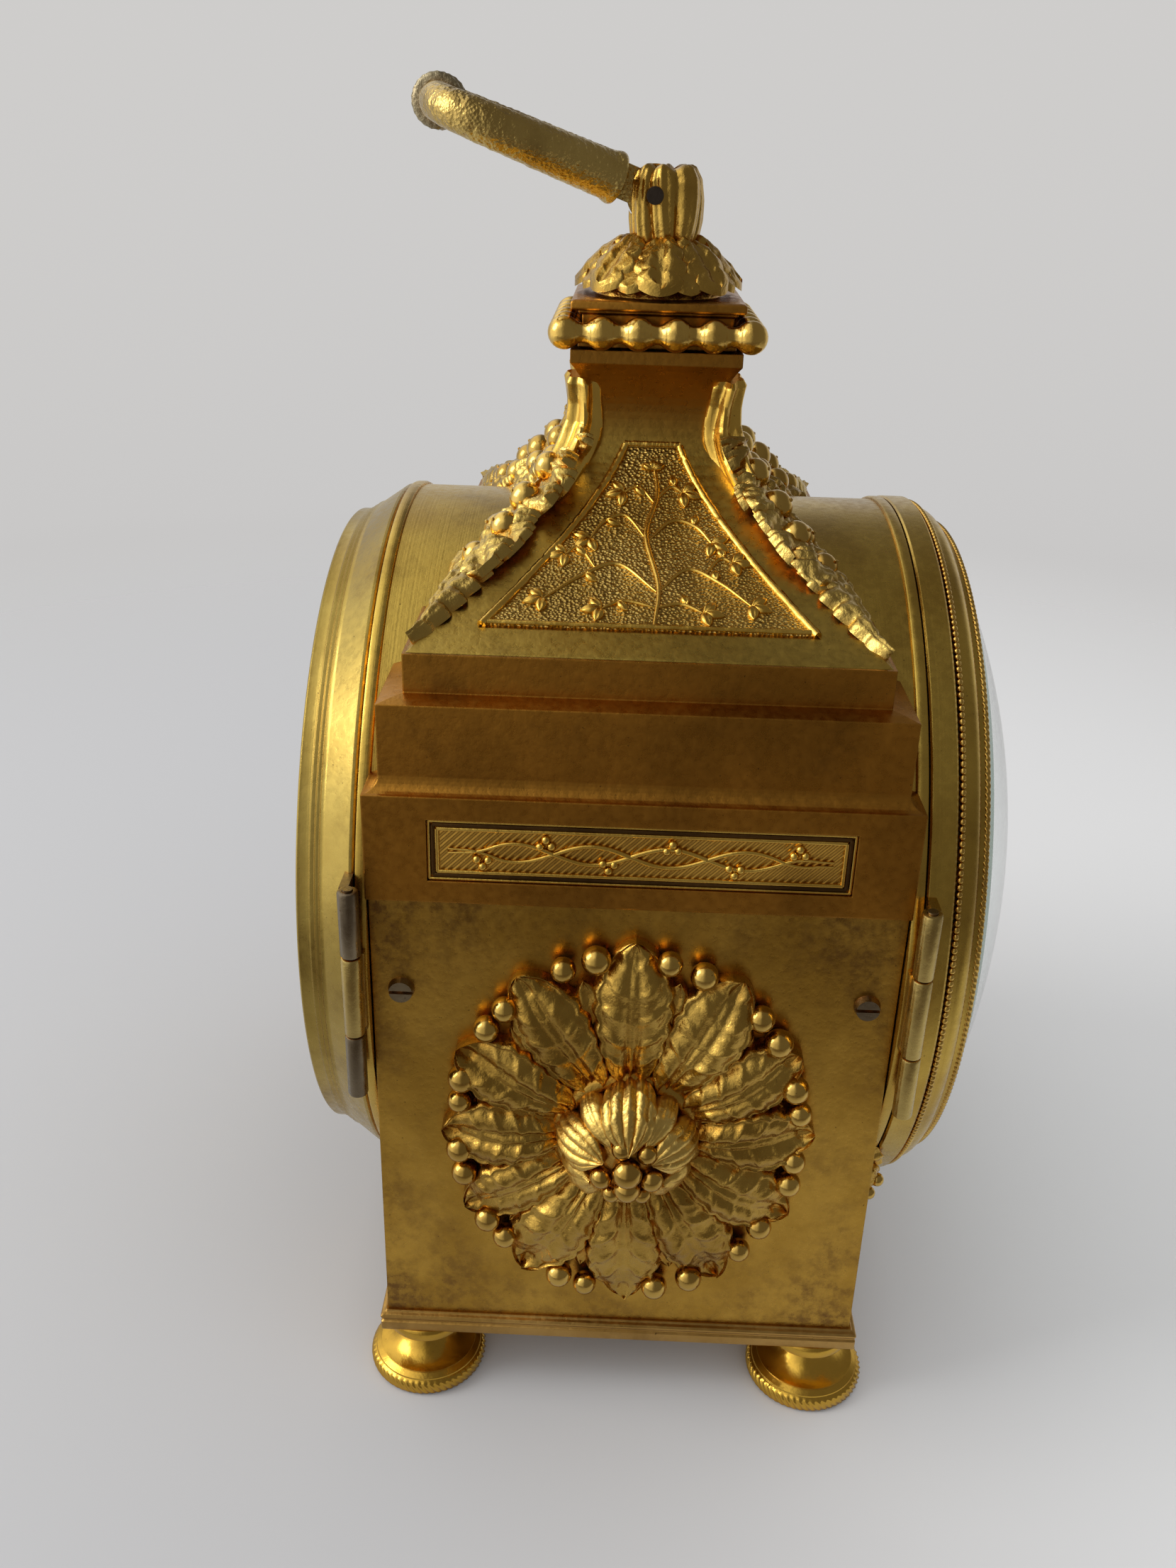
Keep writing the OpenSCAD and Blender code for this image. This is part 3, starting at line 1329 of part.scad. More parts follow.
// The enamel dial on its three feet, with the winding hole
module dial() {
  color("ivory") difference() {
    union() {
      along_depth([0, 0], dial_y, dial_y + dial_t) circle(r = dial_r, $fn = 128);
      for (p = dial_feet)
        along_depth(p, dial_y + 0.5, plate_inner_y - 0.6) circle(r = 1.2);
    }
    along_depth([0, 0], dial_y - cut, dial_y + dial_t + cut) circle(r = pipe_r + 0.4);
    along_depth(barrel_at, dial_y - cut, dial_y + dial_t + cut) circle(r = key_hole_r);
  }
}

// A hand with a round boss and a pierced tip, pointing along an angle
module clock_hand(y, length, bore, angle) {
  eye = length * 0.72;
  eye_r = length * 0.09;
  color("midnightblue") along_depth([0, 0], y, y + hand_t) difference() {
    union() {
      circle(r = bore + 1.6);
      rotate(angle) polygon([[0, -0.9], [eye, -0.6], [length, 0], [eye, 0.6], [0, 0.9]]);
      rotate(angle) translate([eye, 0]) circle(r = eye_r);
    }
    circle(r = bore);
    rotate(angle) translate([eye, 0]) circle(r = eye_r - 0.8);
  }
}

module minute_hand() {
  clock_hand(minute_hand_y, minute_len, cannon_r, 30);
}

module hour_hand() {
  clock_hand(hour_hand_y, hour_len, pipe_r, 145);
}

base_plate();
foot_front_left();
foot_front_right();
foot_back_left();
foot_back_right();
side_panel_left();
side_panel_right();
panel_screws();
front_panel();
back_panel();
entablature_left();
entablature_right();
roof();
bead_frame();
top_plate();
leaf_collar();
handle_knuckle();
tie_rod();
handle_pin();
handle_bail();
handle_collar();
handle_hub();
rosette_left();
rosette_right();
bud_left();
bud_right();
garland_front();
garland_back();
front_mount();
drum_barrel();
front_flange();
back_flange();
front_bezel();
front_glass();
front_hinge_leaf();
back_door();
back_glass();
back_hinge_leaf();
case_hinge_leaves();
hinge_pins();
dial();
minute_hand();
hour_hand();
cannon_pinion();
minute_wheel();
hour_wheel();
movement_front_plate();
movement_back_plate();
pillars();
going_barrel();
winding_arbor();
mainspring();
click();
centre_wheel();
third_wheel();
fourth_wheel();
escape_wheel();
lever();
balance_wheel();
platform();
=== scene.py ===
import math

import bmesh
import bpy
import numpy as np
from mathutils import Matrix, Vector, noise


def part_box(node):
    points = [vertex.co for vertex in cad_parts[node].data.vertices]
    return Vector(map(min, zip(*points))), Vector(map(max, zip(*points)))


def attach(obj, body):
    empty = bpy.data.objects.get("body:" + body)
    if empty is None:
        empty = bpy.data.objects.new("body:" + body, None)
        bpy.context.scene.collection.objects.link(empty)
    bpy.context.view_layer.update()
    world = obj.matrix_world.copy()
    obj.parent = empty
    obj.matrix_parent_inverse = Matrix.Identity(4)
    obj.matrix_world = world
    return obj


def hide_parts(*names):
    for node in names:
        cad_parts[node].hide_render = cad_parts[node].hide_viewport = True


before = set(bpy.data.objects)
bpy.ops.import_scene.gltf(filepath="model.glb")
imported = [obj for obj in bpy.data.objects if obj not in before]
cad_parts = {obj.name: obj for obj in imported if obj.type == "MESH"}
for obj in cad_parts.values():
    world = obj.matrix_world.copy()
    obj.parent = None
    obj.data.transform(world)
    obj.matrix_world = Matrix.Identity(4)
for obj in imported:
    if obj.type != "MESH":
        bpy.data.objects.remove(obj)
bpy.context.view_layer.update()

TAU = 2 * math.pi
MM = 0.001


def box_mm(node):
    """The lowest and highest corner of a CAD node, in millimetres."""
    low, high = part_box(node)
    return np.array(low) / MM, np.array(high) / MM


def middle_and_half(node):
    """The middle of a CAD node's box and half its size, in millimetres."""
    low, high = box_mm(node)
    return (low + high) / 2, (high - low) / 2


# Places and sizes that several sections share, in millimetres, all from the frame
drum_z = middle_and_half("drum_barrel")[0][2]
side_x = -box_mm("side_panel_left")[0][0]
frieze_low, frieze_high = box_mm("entablature_left")
frieze_x = -frieze_low[0]
roof_high = box_mm("roof")[1]


# Materials

class Nodes:
    """A short way to write a node tree."""

    def __init__(self, tree):
        self.tree = tree

    def fill(self, node, values):
        """Gives a node's inputs numbers, colours or links, and returns its outputs."""
        for key, item in values.items():
            if isinstance(item, (int, float)):
                node.inputs[key].default_value = item
            elif isinstance(item, tuple):
                node.inputs[key].default_value = (*item, 1)
            else:
                self.tree.links.new(item, node.inputs[key])
        return node.outputs

    def add(self, kind, values, **settings):
        """A new node's outputs."""
        node = self.tree.nodes.new("ShaderNode" + kind)
        for key, item in settings.items():
            setattr(node, key, item)
        return self.fill(node, values)

    def value(self, operation, first, second, clamp=False):
        """The result of a sum on numbers or sockets."""
        return self.add("Math", {0: first, 1: second}, operation=operation, use_clamp=clamp)[0]

    def times(self, first, second):
        return self.value("MULTIPLY", first, second)

    def spread(self, source, low, high, to_low=0.0, to_high=1.0):
        """Maps the range from low to high smoothly to another one, and holds its ends."""
        values = {"Value": source, "From Min": low, "From Max": high, "To Min": to_low, "To Max": to_high}
        return self.add("MapRange", values, clamp=True, interpolation_type="SMOOTHSTEP")["Result"]

    def mix(self, share, first, second):
        """Two colours or sockets, mixed by a share."""
        return self.add("Mix", {0: share, 6: first, 7: second}, data_type="RGBA")[2]

    def noise(self, where, scale, detail=3.0, rough=0.55):
        """Even noise at a number of lumps to the metre."""
        values = {"Scale": scale, "Detail": detail, "Roughness": rough, "Vector": where}
        return self.add("TexNoise", values)["Fac"]

    def bump(self, height, depth_mm, normal=None):
        """The surface's direction, tilted by a height pattern of a depth in millimetres."""
        values = {"Distance": depth_mm * MM, "Strength": 1, "Height": height}
        if normal:
            values["Normal"] = normal
        return self.add("Bump", values)[0]

    def rounded(self, radius_mm):
        """The surface's direction, with edges that look rounded by a radius in millimetres."""
        return self.add("Bevel", {"Radius": radius_mm * MM}, samples=4)[0]

    def split(self, where):
        """The X, Y and Z parts of a place."""
        return self.add("SeparateXYZ", {0: where})

    def distance(self, first, second):
        """The length of two sides at a right angle."""
        squares = self.value("ADD", self.times(first, first), self.times(second, second))
        return self.value("SQRT", squares, 0.5)

    def open_up(self, shader, share, tint=(1, 1, 1)):
        """Lets light straight through a share of the shader."""
        clear = self.add("BsdfTransparent", {0: tint})[0]
        both = self.add("MixShader", {0: share, 1: shader.outputs[0], 2: clear})[0]
        self.fill(self.tree.nodes["Material Output"], {"Surface": both})


def start(name):
    """An empty material: its node helper, its shader and the object coordinates."""
    material = bpy.data.materials.new(name)
    material.use_nodes = True
    nodes = Nodes(material.node_tree)
    return material, nodes, material.node_tree.nodes["Principled BSDF"], nodes.add("TexCoord", {})["Object"]


def turned_lines(nodes, where):
    """Fine lathe lines about the drum's axis: they run round it on faces and on the barrel."""
    parts = nodes.split(where)
    above = nodes.value("SUBTRACT", parts["Z"], float(drum_z * MM))
    across = nodes.value("ADD", nodes.distance(above, parts["X"]), nodes.times(parts["Y"], 1.3))
    return nodes.add("TexNoise", {"W": across, "Scale": 2600, "Detail": 4}, noise_dimensions="1D")["Fac"]


# Tones and pattern sizes that the gilt looks share
BROWN = (0.13, 0.062, 0.016)
# Painted light: a warm orange that stands in for light bounced into crevices
PAINTED_BOUNCE_LIGHT = (0.62, 0.25, 0.02)
SPECK = (0.05, 0.025, 0.01)
# Painted shade: near-black colour for the deepest crevices
PAINTED_DEEP_SHADE = (0.018, 0.009, 0.004)
# Painted shade: a dark brown that stands in for the dark room reflected in the roof's neck
NECK_PAINTED_SHADE = (0.40, 0.165, 0.022)
HOLLOW_REACH = 0.0022
STIPPLES = 2100
HATCHES = 620


def halo_share(nodes, where, worn, centre):
    """Old patina that starts at a distance from a centre (Y, Z in millimetres) on a side panel."""
    parts = nodes.split(where)
    aside = nodes.value("SUBTRACT", parts["Y"], centre[0] * MM)
    above = nodes.value("SUBTRACT", parts["Z"], centre[1] * MM)
    away = nodes.distance(aside, above)
    old = nodes.times(nodes.spread(away, 0.026, 0.048), nodes.spread(worn, 0.30, 0.62))
    speckle = nodes.spread(nodes.noise(where, 480, 5, 0.7), 0.40, 0.60, 0.35, 1)
    return nodes.times(nodes.times(old, speckle), 0.95)


def gilt(name, light, dark, rough, patina=0.35, crevice=0.0, grain=0.3, edge=0.0, lines=0.0, stipple=0.0,
         hatch=0.0, brown=BROWN, bounce_light=PAINTED_BOUNCE_LIGHT, halo=None, painted_shade_above=None):
    """Gilt bronze: mottled colour, brown patina, specks and a fine grain, with painted warm bounce light and
    painted shade in crevices, and painted shade above a height when one is given.
    """
    material, nodes, shader, where = start(name)
    fine = nodes.noise(where, 900, 4)
    worn = nodes.noise(where, 95, 6, 0.72)
    speck = nodes.spread(nodes.noise(where, 2100, 2), 0.71, 0.78)
    colour = nodes.mix(nodes.spread(nodes.noise(where, 55, 4), 0.36, 0.66), light, dark)
    colour = nodes.mix(nodes.times(nodes.spread(worn, 0.5, 0.78), patina), colour, brown)
    colour = nodes.mix(nodes.times(speck, 0.7), colour, SPECK)
    if halo:
        colour = nodes.mix(halo_share(nodes, where, worn, halo), colour, brown)
    # Painted shade: above a height the colour darkens to brown, standing in for the dark reflection on the
    # roof's neck
    if painted_shade_above:
        above = nodes.spread(nodes.split(where)["Z"], painted_shade_above * MM, (painted_shade_above + 9) * MM)
        colour = nodes.mix(nodes.times(above, 0.85), colour, NECK_PAINTED_SHADE)
    roughness = nodes.spread(fine, 0.25, 0.8, rough * 0.8, rough * 1.35)
    # Painted light and shade from ambient occlusion: crevices turn warm orange as painted bounce light, and
    # the deepest ones turn near-black as painted shade
    if crevice:
        light_in = nodes.add("AmbientOcclusion", {"Distance": HOLLOW_REACH}, samples=6)["AO"]
        colour = nodes.mix(nodes.spread(light_in, 0.35, 0.8, crevice, 0), colour, bounce_light)
        deep_shade = nodes.times(nodes.spread(light_in, 0.12, 0.5, 1, 0), nodes.spread(fine, 0.3, 0.6))
        colour = nodes.mix(deep_shade, colour, PAINTED_DEEP_SHADE)
        roughness = nodes.value("ADD", roughness, nodes.times(deep_shade, 0.35), clamp=True)
    normal = nodes.rounded(edge) if edge else None
    if stipple:
        dots = nodes.add("TexVoronoi", {"Scale": STIPPLES, "Vector": where}, feature="F1")["Distance"]
        normal = nodes.bump(dots, stipple, normal)
    if hatch:
        slant = nodes.add("TexWave", {"Scale": HATCHES, "Vector": where}, wave_type="BANDS",
                          bands_direction="DIAGONAL")["Fac"]
        normal = nodes.bump(slant, hatch, normal)
    if lines:
        normal = nodes.bump(turned_lines(nodes, where), lines, normal)
    normal = nodes.bump(fine, grain * 0.2, normal)
    nodes.fill(shader, {"Base Color": colour, "Roughness": roughness, "Metallic": 1, "Normal": normal})
    return material


def plain_metal(name, colour, rough):
    """Brass or steel inside the case, with soft mottling and softened edges."""
    material, nodes, shader, where = start(name)
    deep = tuple(part * 0.75 for part in colour)
    nodes.fill(shader, {
        "Base Color": nodes.mix(nodes.spread(nodes.noise(where, 160, 4), 0.3, 0.7), colour, deep),
        "Roughness": nodes.spread(nodes.noise(where, 1500), 0.2, 0.8, rough * 0.7, rough * 1.3),
        "Metallic": 1, "Normal": nodes.bump(nodes.noise(where, 2500), 0.02, nodes.rounded(0.12))})
    return material


def enamel(name, colour, rough=0.12):
    """Fired enamel: almost even, with a faint mottle and a soft wave in its gloss."""
    material, nodes, shader, where = start(name)
    deep = tuple(part * 0.93 for part in colour)
    nodes.fill(shader, {
        "Base Color": nodes.mix(nodes.noise(where, 120, 3), colour, deep),
        "Roughness": nodes.spread(nodes.noise(where, 400), 0.2, 0.8, rough, rough * 2),
        "Normal": nodes.bump(nodes.noise(where, 90), 0.05)})
    return material


def clear_glass(name):
    """Clear, faintly green glass, which lets lamp light through to the dial."""
    material, nodes, shader, where = start(name)
    nodes.fill(shader, {
        "Base Color": nodes.mix(nodes.noise(where, 30, 2), (0.97, 0.995, 0.985), (0.95, 0.99, 0.975)),
        "Roughness": nodes.spread(nodes.noise(where, 300), 0.3, 0.8, 0.0, 0.012),
        "Transmission Weight": 1, "IOR": 1.2})
    rays = nodes.add("LightPath", {})
    lit = nodes.value("MAXIMUM", rays["Is Shadow Ray"], rays["Is Diffuse Ray"])
    nodes.open_up(shader, lit, (0.97, 0.99, 0.98))
    return material


def ground_glass(name):
    """The bevelled rim of the glass: pale green and a little frosted."""
    material, nodes, shader, where = start(name)
    nodes.fill(shader, {
        "Base Color": nodes.mix(nodes.noise(where, 60, 3), (0.31, 0.40, 0.35), (0.37, 0.46, 0.40)),
        "Roughness": nodes.spread(nodes.noise(where, 500), 0.2, 0.8, 0.2, 0.34),
        "Transmission Weight": 0.2, "IOR": 1.4,
        "Specular IOR Level": 0.2, "Specular Tint": (0.60, 0.82, 0.74)})
    return material


cast_gilt = gilt("cast_gilt", (0.60, 0.38, 0.08), (0.38, 0.22, 0.04), 0.25, crevice=0.9, grain=0.9)
berry_gilt = gilt("berry_gilt", (0.72, 0.48, 0.12), (0.52, 0.32, 0.07), 0.17, patina=0.2, crevice=0.7,
                  grain=0.2)
bud_gilt = gilt("bud_gilt", (0.98, 0.72, 0.22), (0.74, 0.49, 0.12), 0.3, patina=0.25, crevice=0.9, grain=1.0)
bead_gilt = gilt("bead_gilt", (0.80, 0.53, 0.13), (0.58, 0.36, 0.08), 0.17, patina=0.5, crevice=0.7,
                 grain=0.4)
satin_gilt = gilt("satin_gilt", (0.60, 0.35, 0.06), (0.44, 0.24, 0.035), 0.3, patina=0.6, grain=0.25,
                  edge=0.3)
panel_gilt = gilt("panel_gilt", (0.64, 0.38, 0.065), (0.48, 0.27, 0.04), 0.3, patina=0.45, crevice=0.6,
                  edge=0.3, halo=(0, 52.6), brown=(0.20, 0.10, 0.028))
# The roof's neck gets painted shade above a height
roof_gilt = gilt("roof_gilt", (0.58, 0.40, 0.08), (0.44, 0.29, 0.055), 0.3, patina=0.4, crevice=0.45,
                 edge=0.25, painted_shade_above=float(roof_high[2]) - 16)
# This look's painted bounce light in crevices is redder
brown_gilt = gilt("brown_gilt", (0.50, 0.23, 0.032), (0.36, 0.165, 0.024), 0.3, patina=0.4, crevice=0.5,
                  grain=0.25, edge=0.3, bounce_light=(0.5, 0.19, 0.02))
base_gilt = gilt("base_gilt", (0.56, 0.34, 0.10), (0.42, 0.24, 0.06), 0.34, patina=0.4, crevice=0.5,
                 grain=0.35, edge=0.15)
turned_gilt = gilt("turned_gilt", (0.66, 0.45, 0.09), (0.50, 0.32, 0.06), 0.26, patina=0.4, crevice=0.5,
                   grain=0.15, edge=0.15, lines=0.012)
matt_gilt = gilt("matt_gilt", (0.48, 0.345, 0.085), (0.37, 0.25, 0.055), 0.28, patina=0.45, crevice=0.5,
                 grain=0.15, edge=0.15, lines=0.004)
engraved_gilt = gilt("engraved_gilt", (0.88, 0.58, 0.12), (0.68, 0.41, 0.07), 0.22, patina=0.2)
ground_gilt = gilt("ground_gilt", (0.60, 0.42, 0.12), (0.42, 0.27, 0.06), 0.3, crevice=0.8, stipple=0.22)
hatched_gilt = gilt("hatched_gilt", (0.50, 0.28, 0.05), (0.33, 0.175, 0.03), 0.26, patina=0.5, crevice=0.9,
                    hatch=0.1)
# Painted shadow: near-black gilt for lines that stand in for the shade along the frieze panel's sunk edges
painted_groove_shadow = gilt("painted_groove_shadow", (0.12, 0.062, 0.02), (0.06, 0.032, 0.012), 0.42, patina=0.5)
bright_gilt = gilt("bright_gilt", (0.74, 0.45, 0.07), (0.58, 0.34, 0.05), 0.2, patina=0.3, crevice=0.5,
                   grain=0.2, edge=0.1, lines=0.006)
dusty_gilt = gilt("dusty_gilt", (0.62, 0.43, 0.11), (0.42, 0.27, 0.065), 0.27, crevice=0.9, grain=1.1)
hammered_gilt = gilt("hammered_gilt", (0.66, 0.48, 0.15), (0.46, 0.31, 0.09), 0.24, patina=0.4, crevice=0.5,
                     grain=1.1, stipple=0.09)
pale_gilt = gilt("pale_gilt", (0.40, 0.34, 0.21), (0.18, 0.13, 0.07), 0.42, patina=0.7, crevice=0.6,
                 grain=1.6)
old_brass = gilt("old_brass", (0.58, 0.43, 0.14), (0.40, 0.28, 0.09), 0.26, patina=0.4, crevice=0.6)
worn_steel = gilt("worn_steel", (0.30, 0.24, 0.15), (0.18, 0.14, 0.09), 0.3, patina=0.4, crevice=0.5)
brass = plain_metal("brass", (0.72, 0.49, 0.17), 0.2)
steel = plain_metal("steel", (0.56, 0.56, 0.57), 0.22)
blued_steel = plain_metal("blued_steel", (0.035, 0.055, 0.16), 0.2)
dark_steel = plain_metal("dark_steel", (0.09, 0.07, 0.055), 0.35)
white_enamel = enamel("white_enamel", (0.86, 0.85, 0.80))
black_enamel = enamel("black_enamel", (0.012, 0.012, 0.014), 0.3)
dome_glass = clear_glass("dome_glass")
glass_rim = ground_glass("glass_rim")


# Mesh building

def circle(steps):
    """Even angles round a full turn."""
    return np.linspace(0, TAU, steps, endpoint=False)


def unit(rows):
    """Vectors of length one in the same directions."""
    return rows / np.linalg.norm(rows, axis=-1, keepdims=True)


def swung(along, across, angle):
    """A place in a plane, turned by an angle."""
    return (along * math.cos(angle) - across * math.sin(angle),
            along * math.sin(angle) + across * math.cos(angle))


class Shape:
    """Points and faces gathered in millimetres from several closed shells."""

    def __init__(self):
        self.points = []
        self.faces = []
        self.count = 0

    def add(self, points, faces):
        points = np.asarray(points, float).reshape(-1, 3)
        self.points.append(points)
        self.faces.extend([[index + self.count for index in face] for face in faces])
        self.count += len(points)

    def tube(self, rings, closed=False):
        """Joins closed rings of points, and caps both ends with a fan unless the run is closed."""
        rings = np.asarray(rings, float)
        rows, columns = rings.shape[:2]
        last = rows if closed else rows - 1
        faces = []
        for row in range(last):
            here, after = row * columns, (row + 1) % rows * columns
            for column in range(columns):
                beside = (column + 1) % columns
                faces.append((here + column, here + beside, after + beside, after + column))
        points = rings.reshape(-1, 3)
        if not closed:
            ends = np.stack([rings[0].mean(0), rings[-1].mean(0)])
            base = rows * columns
            for column in range(columns):
                beside = (column + 1) % columns
                faces.append((base, beside, column))
                faces.append((base + 1, (rows - 1) * columns + column, (rows - 1) * columns + beside))
            points = np.concatenate([points, ends])
        self.add(points, faces)

    def ball(self, centre, radius, steps=20):
        """A berry or pearl."""
        polar = np.linspace(0.02, math.pi - 0.02, max(steps // 2, 4))[:, None]
        turn = circle(steps)[None, :]
        ring = np.stack([np.sin(polar) * np.cos(turn), np.sin(polar) * np.sin(turn),
                         np.cos(polar) * np.ones_like(turn)], -1)
        self.tube(np.asarray(centre) + radius * ring)


def add_object(name, data):
    """A new object in the scene."""
    obj = bpy.data.objects.new(name, data)
    bpy.context.scene.collection.objects.link(obj)
    return obj


def finish_mesh(obj, smooth):
    """Turns faces outwards and shades the piece smooth, with sharp edges past an angle in degrees."""
    work = bmesh.new()
    work.from_mesh(obj.data)
    bmesh.ops.remove_doubles(work, verts=work.verts, dist=1e-7)
    bmesh.ops.recalc_face_normals(work, faces=work.faces)
    work.to_mesh(obj.data)
    work.free()
    obj.data.shade_smooth()
    obj.data.set_sharp_from_angle(angle=math.radians(smooth))


def dress(obj, material, body, slot):
    """Gives a piece its material and its body; the slot argument is not used."""
    obj.data.materials.clear()
    obj.data.materials.append(material)
    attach(obj, body)


def mesh_object(name, shape, smooth):
    """Makes one object of a gathered shape."""
    mesh = bpy.data.meshes.new(name)
    mesh.from_pydata((np.concatenate(shape.points) * MM).tolist(), [], shape.faces)
    obj = add_object(name, mesh)
    finish_mesh(obj, smooth)
    return obj


def place_piece(name, shape, material, node, smooth=40, body="case"):
    """Adds a piece beside a CAD node, which may be shown too."""
    obj = mesh_object(name, shape, smooth)
    dress(obj, material, body, node)
    return obj


def stand_in(name, shape, material, node, smooth=40, body="case"):
    """Adds a piece that is shown in place of its CAD node."""
    obj = place_piece(name, shape, material, node, smooth, body)
    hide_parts(node)
    return obj


def turned(name, profile, centre, axis, steps, material, node, smooth=40, body="case", wave=None):
    """A piece turned from a closed profile, shown in place of its CAD node."""
    shape = Shape()
    lathe(shape, profile, centre, axis, steps, wave)
    return stand_in(name, shape, material, node, smooth, body)


def ridge(shape, path, normal, radii, sides=8):
    """A raised line along a path, with the normal of the surface that it lies on."""
    along = unit(np.gradient(path, axis=0))
    across = unit(np.cross(along, normal))
    rise = np.cross(across, along)
    turn = circle(sides)[None, :, None]
    ring = np.cos(turn) * across[:, None, :] + np.sin(turn) * rise[:, None, :]
    shape.tube(path[:, None, :] + radii[:, None, None] * ring)


def curve_points(controls, steps):
    """A smooth curve through control points."""
    controls = np.asarray(controls, float)
    if len(controls) == 2:
        share = np.linspace(0, 1, steps)[:, None]
        return controls[0] * (1 - share) + controls[1] * share
    ends = np.concatenate([[2 * controls[0] - controls[1]], controls, [2 * controls[-1] - controls[-2]]])
    out = []
    spans = len(controls) - 1
    for step in np.linspace(0, spans, steps):
        span = min(int(step), spans - 1)
        share = step - span
        a, b, c, d = ends[span:span + 4]
        out.append(0.5 * (2 * b + (c - a) * share + (2 * a - 5 * b + 4 * c - d) * share ** 2
                          + (3 * b - a - 3 * c + d) * share ** 3))
    return np.array(out)


def leaf(shape, place, length, width, rise, veins=5, teeth=0, tooth=0.0, bend=0.0, base=0.45,
         tip_rise=0.35, floor=0.0, rows=40, columns=27, peak=0.45, tip=0.8, flutes=0, valley=0.0, lip=0.0,
         wave=0.0, turn=0.0, droop=0.45):
    """A cast leaf: place() turns distances along, across and above its seat into points."""
    u = np.linspace(0, 1, rows)[:, None]
    v = np.linspace(-1, 1, columns)[None, :]
    grow = np.clip(u / peak, 0, 1)
    fade = np.clip((1 - u) / (1 - peak), 0, 1)
    outline = (base + (1 - base) * np.sin(grow * math.pi / 2)) * np.sin(fade * math.pi / 2) ** tip
    if teeth:
        step = (u * teeth) % 1
        outline = outline * (1 - tooth * (1 - np.sin(math.pi * step)) * np.clip(4 * u * (1 - u) + 0.2, 0, 1))
    half = np.maximum(width * outline, 0.03)
    body = rise * (tip_rise + (1 - tip_rise) * np.sin(np.clip(u * 1.15, 0, 1) * math.pi) ** 0.7)
    cross = 1 - droop * np.abs(v) ** (3 if droop < 0.5 else 2) + 0.22 * np.sin(math.pi * np.abs(v))
    rib = 0.16 * rise * np.exp(-(v / 0.08) ** 2) * (1 - u) ** 0.4
    phase = u * veins - 0.85 * np.abs(v)
    vein = 0.09 * rise * (0.5 + 0.5 * np.cos(TAU * phase)) ** 5 * np.sin(math.pi * np.abs(v)) ** 0.6
    hollow = -0.10 * rise * np.exp(-((np.abs(v) - 0.16) / 0.09) ** 2) * (1 - u)
    height = body * cross + rib + vein + hollow
    if flutes:
        pleat = np.abs(np.cos(math.pi * flutes * v / 2)) ** 0.8 - 0.5
        height = height + 0.2 * rise * pleat * np.sin(math.pi * u) ** 0.4
    height = height - valley * rise * np.exp(-(v / 0.3) ** 2) * u
    height = height + lip * rise * np.exp(-((np.abs(v) - 0.9) / 0.08) ** 2) * np.clip(u * 4, 0, 1)
    height = height + wave * rise * np.sin(5 * u + turn) * np.sin(2.6 * v + 2 * turn)
    along = length * u + 0 * v
    across = half * v + bend * u ** 2
    top = place(along, across, height)
    under = place(along[:, [-1, 0]], across[:, [-1, 0]], np.full((rows, 2), floor))
    shape.tube(np.concatenate([top, under], 1))


def arc(centre, radius, first, last, steps):
    """Points of a profile on an arc between two angles."""
    return [(centre[0] + radius * math.cos(angle), centre[1] + radius * math.sin(angle))
            for angle in np.linspace(first, last, steps)]


def lathe(shape, profile, centre, axis, steps=192, wave=None):
    """Turns a closed profile of (radius, distance along the axis) about an axis through centre."""
    profile = np.asarray(profile, float)
    turn = circle(steps)
    radius = profile[None, :, 0] * np.ones((steps, 1))
    if wave is not None:
        radius = radius + wave(turn[:, None], profile[None, :, 0], profile[None, :, 1])
    first, second = radius * np.cos(turn)[:, None], radius * np.sin(turn)[:, None]
    along = profile[None, :, 1] * np.ones((steps, 1))
    order = {"x": (along, first, second), "y": (first, along, second), "z": (first, second, along)}[axis]
    shape.tube(np.asarray(centre) + np.stack(order, -1), closed=True)


PANEL_EDGE = 0.22
FLAT_DEGREES = 0.5
SHARP_DEGREES = 35


def softened(node, material):
    """A copy of a panel's CAD node with rounded edges that catch the light."""
    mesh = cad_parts[node].data.copy()
    obj = add_object(node + "_cast", mesh)
    work = bmesh.new()
    work.from_mesh(mesh)
    bmesh.ops.remove_doubles(work, verts=work.verts, dist=1e-6)
    bmesh.ops.dissolve_limit(work, angle_limit=math.radians(FLAT_DEGREES), verts=work.verts,
                             edges=work.edges)
    sharp = [edge for edge in work.edges
             if len(edge.link_faces) == 2 and edge.calc_face_angle(0) > math.radians(SHARP_DEGREES)]
    bmesh.ops.bevel(work, geom=sharp, offset=PANEL_EDGE * MM, segments=2, profile=0.5, affect="EDGES",
                    clamp_overlap=True)
    work.to_mesh(mesh)
    work.free()
    finish_mesh(obj, 20)
    dress(obj, material, "case", node)
    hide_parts(node)


# The rosettes on the sides

(_, rosette_y, rosette_z), (_, rosette_wide, rosette_tall) = middle_and_half("rosette_left")
ROSETTE_LEAVES = 12
RING_R = 9.6
BERRY_R = 2.05


def rosette_reach(angle):
    """Half size of the oval in one direction."""
    return 1 / math.hypot(math.cos(angle) / (rosette_wide - 0.3), math.sin(angle) / (rosette_tall - 0.3))


def side_place(side, angle, start_r, tilt=0.0):
    """Puts a leaf on a side panel, running outwards from the rosette's centre."""
    def place(along, across, height):
        y, z = swung(start_r + along, across, angle)
        return np.stack([side * (side_x + height + tilt * across), rosette_y + y, rosette_z + z], -1)
    return place


